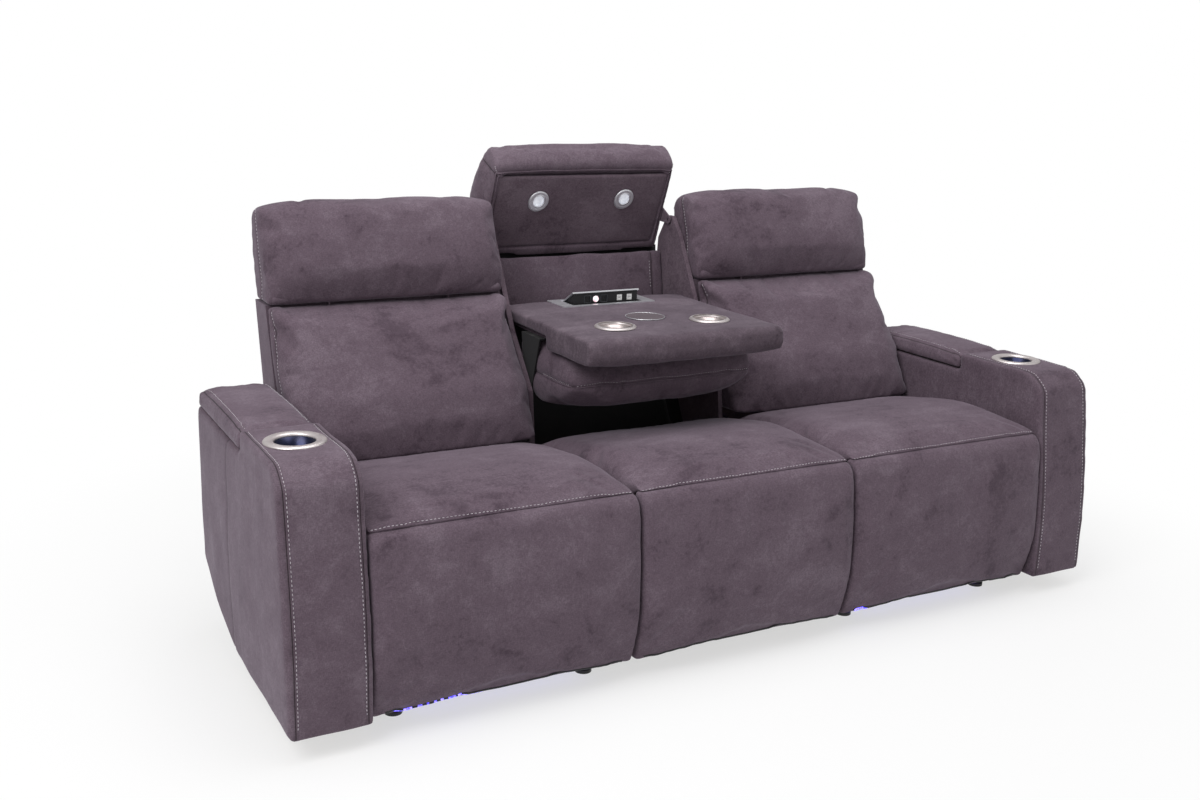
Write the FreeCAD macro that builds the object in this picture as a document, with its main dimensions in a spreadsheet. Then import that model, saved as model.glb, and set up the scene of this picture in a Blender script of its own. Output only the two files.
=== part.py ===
"""Three-seat power reclining sofa whose middle back folds down into a console table.

Frame: millimetres, +Z up, the sofa faces -Y, origin on the floor below the middle of the sofa.
The left side is the side at -X.
"""
import FreeCAD, Part
import math
import os
import re

import Sketcher
from FreeCAD import Vector

doc = FreeCAD.newDocument("ConsoleSofa")
sheet = doc.addObject("Spreadsheet::Sheet", "Sizes")

# Driving sizes in millimetres and degrees. A name that ends in _y or _z is a place in the frame above.
SIZES = {
    # whole sofa
    "overall_width": 2240,
    "arm_width": 177,
    "middle_width": 610,
    "floor_gap": 48,
    "side_gap": 3,
    "seat_clearance": 0.3,
    "pin_clearance": 0.05,
    # arms
    "arm_front_y": -531,
    "arm_rear_y": 242,
    "arm_top_z": 612,
    "arm_shelf_z": 565,
    "arm_nose_round": 70,
    "arm_heel_rise": 130,
    "arm_padding": 14,
    "arm_board": 15,
    "cup_y": -307,
    "cup_bore": 92,
    "cup_wall": 1.5,
    "cup_depth": 76,
    "cup_ring": 130,
    "cup_ring_height": 6,
    "bin_wall": 4,
    "bin_depth": 225,
    "bin_rim": 8,
    "lid_front_y": -180,
    "lid_rear_y": 232,
    "lid_board": 12,
    "lid_height": 47,
    "lid_gap": 6,
    "lid_overhang": 3,
    "lid_crown": 5,
    "lid_barrel": 3.2,
    "lid_leaf": 1.4,
    # seats and their front panels
    "hinge_y": -478,
    "hinge_z": 412,
    "roll_radius": 45,
    "roll_gap": 2,
    "panel_front_y": -543,
    "panel_depth": 80,
    "panel_toe": 38,
    "panel_board": 15,
    "deck_z": 385,
    "deck_height": 40,
    "deck_rail": 42,
    "seat_top_z": 498,
    "seat_rear_z": 430,
    "seat_rear_y": 58,
    "seat_edge_drop": 20,
    # steel base and recliner mechanism of an outer seat
    "rail_inset": 34,
    "rail_width": 30,
    "rail_height": 40,
    "rail_z": 45,
    "rail_wall": 4,
    "rail_front_y": -430,
    "rail_rear_y": 180,
    "foot_inset": 50,
    "foot_front_y": -405,
    "foot_rear_y": 155,
    "foot_radius": 20,
    "tie_height": 30,
    "plate": 4,
    "tube_radius": 10,
    "shoe_width": 20,
    "crank_drop": 182,
    "crank_offset": 44,
    "crank_y": -255,
    "crank_z": 317,
    "link_width": 24,
    "link_pin": 5,
    "link_gap": 2,
    "footrest_pin": 4,
    "back_pivot_y": 110,
    "back_pivot_z": 395,
    "back_pin": 6,
    "drive_z": 215,
    "drive_front_y": -320,
    # backs of the outer seats
    "back_bottom_z": 446,
    "crease_z": 793,
    "back_top_z": 1045,
    "back_front_y": 1,
    "frame_foot_y": 152,
    "frame_head_y": 270,
    "frame_rear_foot_y": 285,
    "frame_rear_head_y": 369,
    "frame_tail_z": 300,
    "tail_gap": 1.5,
    "headrest_front_y": 221,
    "headrest_rear_y": 415,
    "headrest_pivot_y": 256,
    "headrest_pivot_z": 810,
    "headrest_pin": 4,
    "headrest_lug_x": 160,
    "back_edge_drop": 26,
    # centre back, console and raised headrest
    "cheek": 13.4,
    "cheek_gap": 1.2,
    "console_pivot_y": 134,
    "console_pivot_z": 555,
    "console_pin": 8,
    "tray_width": 572,
    "tray_front_y": -213,
    "tray_rear_y": 332,
    "tray_step_y": 32,
    "tray_top_z": 747,
    "tray_height": 74,
    "tray_tail_height": 34,
    "tray_board": 14,
    "tray_cup_x": 142,
    "tray_cup_y": -73,
    "tray_cup_bore": 88,
    "tray_cup_ring": 106,
    "tray_cup_depth": 58,
    "charger_y": 20,
    "charger_diameter": 105,
    "cushion_front_y": -113,
    "cushion_bottom_z": 534,
    "cushion_width": 554,
    "recess_top_z": 845,
    "recess_bottom_z": 752,
    "recess_front_y": 424.7,
    "recess_lean": 16,
    "recess_pad": 22,
    "visor_width": 566,
    "visor_pivot_y": 387,
    "visor_pivot_z": 955,
    "visor_pin": 5,
    "visor_low_y": 462,
    "visor_low_z": 860,
    "visor_lip_y": 358,
    "visor_lip_z": 1110,
    "visor_top_z": 1173,
    "visor_rear_y": 541.5,
    "light_x": 137,
    "light_diameter": 60,
    "light_panel": 12,
    # pop-up outlet strip in the table
    "outlet_y": 263,
    "outlet_length": 290,
    "outlet_width": 108,
    "outlet_rim": 14,
    "outlet_depth": 52,
    "outlet_wall": 3,
    "flap_length": 210,
    "flap_angle": 30,
    "flap_thick": 4,
    "flap_face": 40,
    "flap_barrel": 3,
    "flap_pin": 1.5,
    "flap_side_gap": 4,
    "button_radius": 8,
}
for row, (alias, number) in enumerate(SIZES.items(), start=1):
    sheet.set(f"A{row}", alias.replace("_", " "))
    sheet.set(f"B{row}", str(number))
    sheet.setAlias(f"B{row}", alias)
doc.recompute()

# Places and widths that follow from the driving sizes, written as formulas over them.
OUTER_WIDTH = "(overall_width - 2 * arm_width - middle_width) / 2"
OUTER_CENTRE = "(overall_width - 2 * arm_width + middle_width) / 4"
ARM_CENTRE = "(overall_width - arm_width) / 2"
CHEEK_INNER = "middle_width / 2 - cheek - cheek_gap"
MIDDLE_BOX_HALF = f"{CHEEK_INNER} - seat_clearance"
RAIL_X = f"({OUTER_WIDTH} / 2 - rail_inset)"
FOOT_X = f"({RAIL_X} - foot_inset)"
TAIL_HALF = f"({RAIL_X} + plate / 2 + tail_gap)"
SIDES = {"left": -1, "right": 1}


def formula(text):
    """A formula over the sizes, in the form that the document's expressions use."""
    return re.sub(r"[a-z_]+", lambda m: f"Sizes.{m[0]}" if m[0] in SIZES else m[0], str(text))


def size(text):
    """The value of a formula, for the few shapes that are worked out in code."""
    return float(sheet.evalExpression(formula(text)))


def bind(thing, **links):
    """Bind properties to formulas. Two underscores stand for the dot of a nested property."""
    for name, text in links.items():
        thing.setExpression(name.replace("__", "."), formula(text))


def place(thing, label, x="0"):
    """Name a finished sub-part and put it at its place across the sofa."""
    thing.Label = label
    bind(thing, Placement__Base__x=x)
    NODES.append(thing)
    return thing


def gather(thing, label, x="0"):
    """Put one copy of a repeated piece at its place. The copies of a label become one sub-part."""
    bind(thing, Placement__Base__x=x)
    GROUPS.setdefault(label, []).append(thing)
    return thing


NODES = []
GROUPS = {}


# Bodies made from sketches


def new_body():
    return doc.addObject("PartDesign::Body", "Body")


def origin_plane(body, plane):
    return next(f for f in body.Origin.OriginFeatures if f.Role == plane + "_Plane")


def sketch_on(body, plane, offset):
    """An empty sketch on one of the body's own planes, moved along the plane's normal."""
    sketch = body.newObject("Sketcher::SketchObject", "Sketch")
    sketch.AttachmentSupport = [(origin_plane(body, plane), "")]
    sketch.MapMode = "FlatFace"
    bind(sketch, AttachmentOffset__Base__z=offset)
    return sketch


def draw_outline(sketch, outline):
    """Close a chain of lines through the points and bind every point to its formulas."""
    points = [Vector(size(u), size(v), 0) for u, v in outline]
    first = sketch.GeometryCount
    count = len(points)
    for i, point in enumerate(points):
        sketch.addGeometry(Part.LineSegment(point, points[(i + 1) % count]), False)
    for i in range(count):
        sketch.addConstraint(Sketcher.Constraint("Coincident", first + i, 2, first + (i + 1) % count, 1))
    for i, (u, v) in enumerate(outline):
        for kind, value, text in (("DistanceX", points[i].x, u), ("DistanceY", points[i].y, v)):
            index = sketch.addConstraint(Sketcher.Constraint(kind, -1, 1, first + i, 1, value))
            bind(sketch, **{f"Constraints[{index}]": text})


def draw_circle(sketch, centre, radius):
    u, v = centre
    circle = Part.Circle(Vector(size(u), size(v), 0), Vector(0, 0, 1), size(radius))
    index = sketch.addGeometry(circle, False)
    rules = (
        (("Radius", index, size(radius)), radius),
        (("DistanceX", -1, 1, index, 3, size(u)), u),
        (("DistanceY", -1, 1, index, 3, size(v)), v),
    )
    for rule, text in rules:
        bind(sketch, **{f"Constraints[{sketch.addConstraint(Sketcher.Constraint(*rule))}]": text})


def extrude(body, kind, plane, low, high, outlines=(), circles=()):
    """Pad or pocket outlines and circles between two places along the plane's axis."""
    along_normal = kind == "PartDesign::Pad"
    if plane == "XZ":
        offset = f"-({high})" if along_normal else f"-({low})"
    else:
        offset = low if along_normal else high
    sketch = sketch_on(body, plane, offset)
    for outline in outlines:
        draw_outline(sketch, outline)
    for centre, radius in circles:
        draw_circle(sketch, centre, radius)
    feature = body.newObject(kind, "Feature")
    feature.Profile = sketch
    bind(feature, Length=f"({high}) - ({low})")
    doc.recompute()
    return feature


def pad(body, plane, low, high, outlines=(), circles=()):
    return extrude(body, "PartDesign::Pad", plane, low, high, outlines, circles)


def pocket(body, plane, low, high, outlines=(), circles=()):
    """Cut, and make sure that material went."""
    before = body.Shape.Volume
    feature = extrude(body, "PartDesign::Pocket", plane, low, high, outlines, circles)
    if not body.Shape.Volume < before - 1:
        raise ValueError("a pocket cut nothing")
    return feature


def revolve(body, outline):
    """Turn an outline of (radius, height) points a full turn about the body's Z axis."""
    sketch = sketch_on(body, "XZ", "0")
    draw_outline(sketch, outline)
    turn = body.newObject("PartDesign::Revolution", "Turn")
    turn.Profile = sketch
    turn.ReferenceAxis = (sketch, ["V_Axis"])
    turn.Angle = 360
    doc.recompute()
    return turn


def round_corners(body, radius, corners, plane="YZ"):
    """Fillet the long edges that stand on the given corners of a padded outline."""
    axes = {"YZ": (1, 2), "XZ": (0, 2), "XY": (0, 1)}[plane]
    wanted = [(size(u), size(v)) for u, v in corners]
    names = []
    for number, edge in enumerate(body.Shape.Edges, start=1):
        ends = [tuple(v.Point[k] for k in axes) for v in edge.Vertexes]
        if len(ends) == 2 and any(all(math.dist(e, w) < 0.01 for e in ends) for w in wanted):
            names.append(f"Edge{number}")
    if not names:
        raise ValueError("no edge stands on the corners to round")
    base = body.Tip
    fillet = body.newObject("PartDesign::Fillet", "Fillet")
    fillet.Base = (base, names)
    bind(fillet, Radius=radius)
    body.Tip = fillet
    doc.recompute()
    return fillet


def rectangle(u_low, u_high, v_low, v_high):
    return [(u_low, v_low), (u_high, v_low), (u_high, v_high), (u_low, v_high)]


def mirror_across(body):
    """Repeat what the body holds on the other side of its YZ plane."""
    mirror = body.newObject("PartDesign::Mirrored", "Mirror")
    kinds = ("PartDesign::Pad", "PartDesign::Pocket")
    mirror.Originals = [f for f in body.Group if f.TypeId in kinds]
    mirror.MirrorPlane = (origin_plane(body, "YZ"), [""])
    body.Tip = mirror
    doc.recompute()
    return mirror


# Plain primitives and booleans


def block(x_low, x_high, y_low, y_high, z_low, z_high):
    box = doc.addObject("Part::Box", "Block")
    bind(box, Length=f"({x_high}) - ({x_low})", Width=f"({y_high}) - ({y_low})")
    bind(box, Height=f"({z_high}) - ({z_low})")
    bind(box, Placement__Base__x=x_low, Placement__Base__y=y_low, Placement__Base__z=z_low)
    return box


def rod(axis, radius, start, length, x, y, z):
    """A cylinder along X, Y or Z. start is its low end and replaces the coordinate on its own axis."""
    turn = {"X": (Vector(0, 1, 0), 90), "Y": (Vector(1, 0, 0), -90), "Z": (Vector(0, 0, 1), 0)}[axis]
    place_at = {"x": x, "y": y, "z": z}
    place_at[axis.lower()] = start
    bar = doc.addObject("Part::Cylinder", "Rod")
    bar.Placement = FreeCAD.Placement(Vector(0, 0, 0), FreeCAD.Rotation(*turn))
    bind(bar, Radius=radius, Height=length)
    bind(bar, **{f"Placement__Base__{k}": v for k, v in place_at.items()})
    return bar


def fused(*things):
    fuse = doc.addObject("Part::MultiFuse", "Fused")
    fuse.Shapes = list(things)
    fuse.Refine = True
    return fuse


def cut(base, *tools):
    cutting = doc.addObject("Part::Cut", "Cut")
    cutting.Base = base
    cutting.Tool = tools[0] if len(tools) == 1 else fused(*tools)
    return cutting


# Soft pieces, lofted through sections made of lines and short arcs


ARC_CHORDS = 4


def section(x, start, *runs):
    """A closed wire at x. Each run ends at its last point, and bends through its first of two in a few chords."""
    points = [Vector(x, *start)]
    for run in list(runs) + [(start,)]:
        end = Vector(x, *run[-1])
        if len(run) == 2:
            bend = Part.Arc(points[-1], Vector(x, *run[0]), end).toShape()
            points += bend.discretize(ARC_CHORDS + 1)[1:]
        elif (end - points[-1]).Length > 1e-6:
            points.append(end)
    return Part.makePolygon(points)


def soft_loft(half_width, profile):
    """Loft a profile across its width. profile(x, sag) gives a section; sag grows from 0 inside to 1 at the ends."""
    shares = (-1, -0.93, -0.8, -0.55, 0.55, 0.8, 0.93, 1)
    return Part.makeLoft([profile(share * half_width, share ** 4) for share in shares], True, True)


def soft_piece(label, shape, x="0"):
    """A padded sub-part whose shape is worked out from the sizes in code."""
    piece = doc.addObject("Part::Feature", "Soft")
    piece.Shape = shape.removeSplitter()
    return place(piece, label, x)


def solid_box(x, y, z):
    """A code-made box from pairs of low and high values."""
    return Part.makeBox(x[1] - x[0], y[1] - y[0], z[1] - z[0], Vector(x[0], y[0], z[0]))


# Arms: padded cover, wooden box frame, storage bin with lid, cup holder


def arm_outline(inset, open_bottom):
    """Side view of an arm, moved inwards by inset."""
    inset = f"({inset})"
    front = f"arm_front_y + {inset}"
    rear = f"arm_rear_y - {inset}"
    top = f"arm_top_z - {inset}"
    shelf = f"arm_shelf_z - {inset}"
    step = f"lid_front_y - 3 - {inset}"
    if open_bottom:
        foot = [(rear, "-10"), (front, "-10")]
    else:
        foot = [
            (rear, f"floor_gap + arm_heel_rise + {inset}"),
            ("arm_rear_y - 150", f"floor_gap + arm_heel_rise * 0.45 + {inset}"),
            ("arm_rear_y - 340", f"floor_gap + {inset}"),
            (front, f"floor_gap + {inset}"),
        ]
    upper = [
        (front, "floor_gap + 150"),
        (f"{front} + 12", "arm_top_z - 250"),
        (f"{front} + 40", f"{top} - 40"),
        (f"{front} + 85", top),
        (step, top),
        (step, shelf),
        (rear, shelf),
    ]
    return foot + upper


def arm_pieces(side, sign):
    centre = f"{sign} * {ARM_CENTRE}"
    half = "arm_width / 2"
    cavity = f"{half} - arm_padding"
    inner = f"{cavity} - seat_clearance - arm_board"
    bin_half = f"{inner} - 3"
    bin_front = "lid_front_y + 15"
    bin_rear = "lid_rear_y - 42"
    hole = "cup_bore / 2 + cup_wall + 1"

    cover = new_body()
    pad(cover, "YZ", f"-({half})", half, [arm_outline("0", False)])
    round_corners(cover, "arm_nose_round", [("arm_front_y + 85", "arm_top_z")])
    round_corners(cover, "arm_nose_round / 2", [("arm_front_y + 40", "arm_top_z - 40")])
    pocket(cover, "YZ", f"-({cavity})", cavity, [arm_outline("arm_padding", True)])
    opening = rectangle(f"-({bin_half})", bin_half, bin_front, bin_rear)
    pocket(cover, "XY", "arm_shelf_z - arm_padding - 5", "arm_shelf_z + 1", [opening])
    pocket(cover, "XY", "arm_top_z - arm_padding - 5", "arm_top_z + 1", circles=[(("0", "cup_y"), hole)])
    place(cover, f"{side}_arm_cover", centre)

    frame = new_body()
    outside = f"{cavity} - seat_clearance"
    pad(frame, "YZ", f"-({outside})", outside, [arm_outline("arm_padding + seat_clearance", False)])
    inside = arm_outline("arm_padding + seat_clearance + arm_board", True)
    pocket(frame, "YZ", f"-({inner})", inner, [inside])
    pocket(frame, "XY", "arm_shelf_z - 60", "arm_shelf_z", [opening])
    pocket(frame, "XY", "arm_top_z - 60", "arm_top_z", circles=[(("0", "cup_y"), hole)])
    gather(frame, "arm_frames", centre)

    bin_box = new_body()
    rim_top = "arm_shelf_z + seat_clearance + 2.5"
    body_half = f"{bin_half} - 0.5"
    rim = rectangle(
        f"-({bin_half} + bin_rim)", f"{bin_half} + bin_rim", f"{bin_front} - bin_rim", f"{bin_rear} + bin_rim"
    )
    shell = rectangle(f"-({body_half})", body_half, f"{bin_front} + 0.5", f"{bin_rear} - 0.5")
    hollow = rectangle(
        f"bin_wall - ({body_half})", f"{body_half} - bin_wall", f"{bin_front} + bin_wall", f"{bin_rear} - bin_wall"
    )
    pad(bin_box, "XY", "arm_shelf_z - bin_depth", "arm_shelf_z + seat_clearance", [shell])
    pad(bin_box, "XY", "arm_shelf_z + seat_clearance", rim_top, [rim])
    pocket(bin_box, "XY", "arm_shelf_z - bin_depth + bin_wall", rim_top, [hollow])
    gather(bin_box, "storage_bins", centre)

    cup = gather(cup_holder("cup_bore", "cup_ring", "cup_depth"), "arm_cup_holders", centre)
    bind(cup, Placement__Base__y="cup_y", Placement__Base__z="arm_top_z + seat_clearance")

    lid_pieces(side, centre)


def cup_holder(bore, ring, depth):
    """A spun steel cup with a domed ring, its ring's underside at height 0."""
    cup = new_body()
    outer = f"{bore} / 2 + cup_wall"
    revolve(cup, [
        ("0", f"-{depth}"),
        (outer, f"-{depth}"),
        (outer, "0"),
        (f"{ring} / 2", "0"),
        (f"{ring} / 2 - 6", "cup_ring_height"),
        (f"{bore} / 2 + 3", "cup_ring_height * 0.8"),
        (f"{bore} / 2", "0"),
        (f"{bore} / 2", f"cup_wall - {depth}"),
        ("0", f"cup_wall - {depth}"),
    ])
    return cup


def lid_pieces(side, centre):
    """Padded lid on a board, and a hinge of two leaves with its barrel just behind the lid."""
    half = size("arm_width / 2 + lid_overhang - 2")
    front = size("lid_front_y")
    rear = size("lid_rear_y")
    low = size("arm_shelf_z + lid_gap - 1")
    top = size("arm_shelf_z + lid_gap + lid_height")
    crown = size("lid_crown")

    def lid_section(x, sag):
        up = top - crown * (1 + 2 * sag)
        return section(
            x,
            (rear - 3 * sag, low),
            ((rear - 3 * sag, up - 16),),
            ((rear - 5, up - 4), (rear - 18, up)),
            (((front + rear) / 2, up + crown), (front + 22, up)),
            ((front + 6, up - 5), (front + 3 * sag, up - 22)),
            ((front + 2 + 3 * sag, low),),
        )

    board_half = "arm_width / 2 - 6"
    board_low = "arm_shelf_z + lid_gap"
    board_front = "lid_front_y + 8"
    board_rear = "lid_rear_y - 4"
    gap = size("seat_clearance")
    slot = solid_box(
        (-size(board_half) - gap, size(board_half) + gap),
        (size(board_front) - gap, size(board_rear) + gap),
        (low - 5, size(board_low) + size("lid_board") + gap),
    )
    barrel = 54
    side_barrel = 54
    knuckle_gap = 0.3
    leaf_notch = solid_box(
        (-barrel / 2 - knuckle_gap, barrel / 2 + knuckle_gap),
        (rear - 10, rear + 5),
        (low - 5, size(board_low) + gap),
    )
    lid_pad = soft_loft(half, lid_section).cut(slot).cut(leaf_notch)
    soft_piece(f"{side}_lid_pad", lid_pad, centre)

    board = new_body()
    pad(board, "XY", board_low, f"{board_low} + lid_board",
        [rectangle(f"-({board_half})", board_half, board_front, board_rear)])
    corners = [(x, y) for x in (f"-({board_half})", board_half) for y in (board_front, board_rear)]
    round_corners(board, "6", corners, "XY")

    axis_y = "lid_rear_y + lid_barrel + 2.5"
    axis_z = "arm_shelf_z + seat_clearance + lid_barrel"
    reach = barrel / 2 + side_barrel

    def knuckle(start, length, radius="lid_barrel"):
        return rod("X", radius, str(start), str(length), "0", axis_y, axis_z)

    lower_leaf = block(str(-reach), str(reach), "lid_rear_y - 28", axis_y, "arm_shelf_z + seat_clearance",
                       "arm_shelf_z + seat_clearance + lid_leaf")
    relief = knuckle(-barrel / 2 - knuckle_gap, barrel + 2 * knuckle_gap, "lid_barrel + 0.4")
    fixed = fused(
        cut(lower_leaf, relief),
        knuckle(-reach, side_barrel - knuckle_gap),
        knuckle(barrel / 2 + knuckle_gap, side_barrel - knuckle_gap),
        knuckle(-reach, 2 * reach, "lid_barrel / 2"),
    )
    gather(fixed, "lid_hinges", centre)

    upper_leaf = block(str(-barrel / 2), str(barrel / 2), "lid_rear_y - 40", axis_y, f"{board_low} - lid_leaf", board_low)
    moving = cut(fused(upper_leaf, knuckle(-barrel / 2, barrel)),
                 knuckle(-barrel / 2 - 1, barrel + 2, "lid_barrel / 2 + pin_clearance"))
    place(fused(board, moving), f"{side}_lid_board", centre)


# Seats: cushion, rolled front panel with its board, wooden deck


def seat_cushion_shape(half):
    """Seat cushion, crowned, whose nose lies over the roll of the front panel."""
    hinge = (size("hinge_y"), size("hinge_z"))
    reach = size("roll_radius + roll_gap")
    base = size("deck_z + seat_clearance")
    top = size("seat_top_z")
    drop = size("seat_edge_drop")
    rear_y = size("seat_rear_y")
    rear_z = size("seat_rear_z")

    def on_roll(angle):
        turn = math.radians(angle)
        return hinge[0] + reach * math.cos(turn), hinge[1] + reach * math.sin(turn)

    def cushion_section(x, sag):
        down = drop * sag
        nose = on_roll(101)
        return section(
            x,
            (rear_y, base),
            ((hinge[0] + reach + 4, base),),
            (on_roll(-4),),
            (on_roll(52), nose),
            ((nose[0] + 8, nose[1] + 16 - down * 0.5), (nose[0] + 50, nose[1] + 27 - down * 0.8)),
            ((nose[0] + 199, top - down), (nose[0] + 356, top - 19 - down)),
            ((rear_y - 95, rear_z + 24 - down * 0.6), (rear_y, rear_z - down * 0.4)),
        )

    return soft_loft(half, cushion_section)


def front_panel_shape(half):
    """Front panel of a seat: its top is a roll about the footrest hinge, its face is crowned."""
    hinge = (size("hinge_y"), size("hinge_z"))
    roll = size("roll_radius")
    front = size("panel_front_y")
    back = front + size("panel_depth")
    low = size("floor_gap")
    toe = front + size("panel_toe")
    lift = math.sqrt(roll ** 2 - (back - hinge[0]) ** 2)

    def panel_section(x, sag):
        inset = 9 * sag
        shoulder = (hinge[0] - roll + inset * 0.3, hinge[1])
        turn = math.radians(118)
        crest = (hinge[0] + roll * math.cos(turn), hinge[1] + roll * math.sin(turn) - inset * 0.2)
        waist = (front + 1 + inset, hinge[1] - 160)
        return section(
            x,
            (back, low),
            ((back, hinge[1] + lift),),
            (crest, shoulder),
            ((front + 7 + inset, hinge[1] - 70), waist),
            ((front + 9 + inset, low + 95), (toe + inset, low + 2)),
        )

    return soft_loft(half, panel_section)


def hinged_panel_shape(half):
    """A front panel that turns on the pins of two ears, with a slot round each ear."""
    panel = front_panel_shape(half)
    hinge = (size("hinge_y"), size("hinge_z"))
    pin = size("footrest_pin + pin_clearance")
    slot = ((-8, -14), (50, -62), (70, -20), (70, 40), (40, 70), (8, 70), (-16, 10))
    for side in SIDES.values():
        low = side * size(RAIL_X) - size("plate") / 2 - 1.5
        width = size("plate") + 3
        corners = [Vector(low, hinge[0] + y, hinge[1] + z) for y, z in slot]
        panel = panel.cut(Part.Face(Part.makePolygon(corners + corners[:1])).extrude(Vector(width, 0, 0)))
        start = Vector(low - 10, *hinge)
        panel = panel.cut(Part.makeCylinder(pin, width + 20, start, Vector(1, 0, 0)))
    return panel


def panel_board(half):
    """Board behind the front panel, screwed to it all over."""
    board = new_body()
    back = "panel_front_y + panel_depth + seat_clearance"
    outline = rectangle(back, f"{back} + panel_board", "floor_gap + 14", "hinge_z - 24")
    pad(board, "YZ", f"-({half})", half, [outline])
    return board


def seat_deck(half, front, rear):
    """Wooden frame under a seat cushion, with a webbed opening crossed by three slats."""
    deck = new_body()
    pad(deck, "XY", "deck_z - deck_height", "deck_z", [rectangle(f"-({half})", half, front, rear)])
    inner = f"{half} - deck_rail"
    window = (f"{front} + deck_rail", f"{rear} - deck_rail")
    pitch = f"(({window[1]}) - ({window[0]}) + deck_rail) / 4"
    openings = []
    for number in range(4):
        start = f"{window[0]} + {number} * {pitch}"
        openings.append(rectangle(f"-({inner})", inner, start, f"{start} + {pitch} - deck_rail"))
    pocket(deck, "XY", "deck_z - deck_height - 1", "deck_z + 1", openings)
    return deck


def base_frame(sign, centre):
    """Steel floor frame of a recliner: two channel rails, and two cross ties that join arm and middle seat."""
    frame = new_body()
    rail_top = "rail_z + rail_height"
    for rail_side in SIDES.values():
        low = f"{rail_side} * {RAIL_X} - rail_width / 2"
        high = f"{rail_side} * {RAIL_X} + rail_width / 2"
        pad(frame, "XZ", "rail_front_y", "rail_rear_y", [rectangle(low, high, "rail_z", rail_top)])
        mouth = rectangle(f"{low} + rail_wall", f"{high} - rail_wall", "rail_z - 1", f"{rail_top} - rail_wall")
        pocket(frame, "XZ", "rail_front_y - 1", "rail_rear_y + 1", [mouth])
    to_arm = f"{OUTER_WIDTH} / 2 - seat_clearance"
    to_middle = f"{OUTER_WIDTH} / 2 + middle_width / 2 - ({MIDDLE_BOX_HALF}) - seat_clearance"
    low, high = (to_middle, to_arm) if sign > 0 else (to_arm, to_middle)
    for middle in ("foot_front_y", "foot_rear_y"):
        tie = rectangle(f"{middle} - 15", f"{middle} + 15", "rail_z + 5", "rail_z + 5 + tie_height")
        pad(frame, "YZ", f"-({low})", high, [tie])
    gather(frame, "base_frames", centre)


def link_outline_plate(body, start, end, x_low, x_high):
    """A flat steel link with round ends between two pivots, across one slice of X."""
    (y_a, z_a), (y_b, z_b) = start, end
    length = f"sqrt(pow(({y_b}) - ({y_a}); 2) + pow(({z_b}) - ({z_a}); 2))"
    side_y = f"(({z_b}) - ({z_a})) / {length} * link_width / 2"
    side_z = f"(({y_a}) - ({y_b})) / {length} * link_width / 2"
    bar = [
        (f"{y_a} + {side_y}", f"{z_a} + {side_z}"),
        (f"{y_b} + {side_y}", f"{z_b} + {side_z}"),
        (f"{y_b} - {side_y}", f"{z_b} - {side_z}"),
        (f"{y_a} - {side_y}", f"{z_a} - {side_z}"),
    ]
    pad(body, "YZ", x_low, x_high, [bar])
    for centre in (start, end):
        pad(body, "YZ", x_low, x_high, circles=[(centre, "link_width / 2")])


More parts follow.
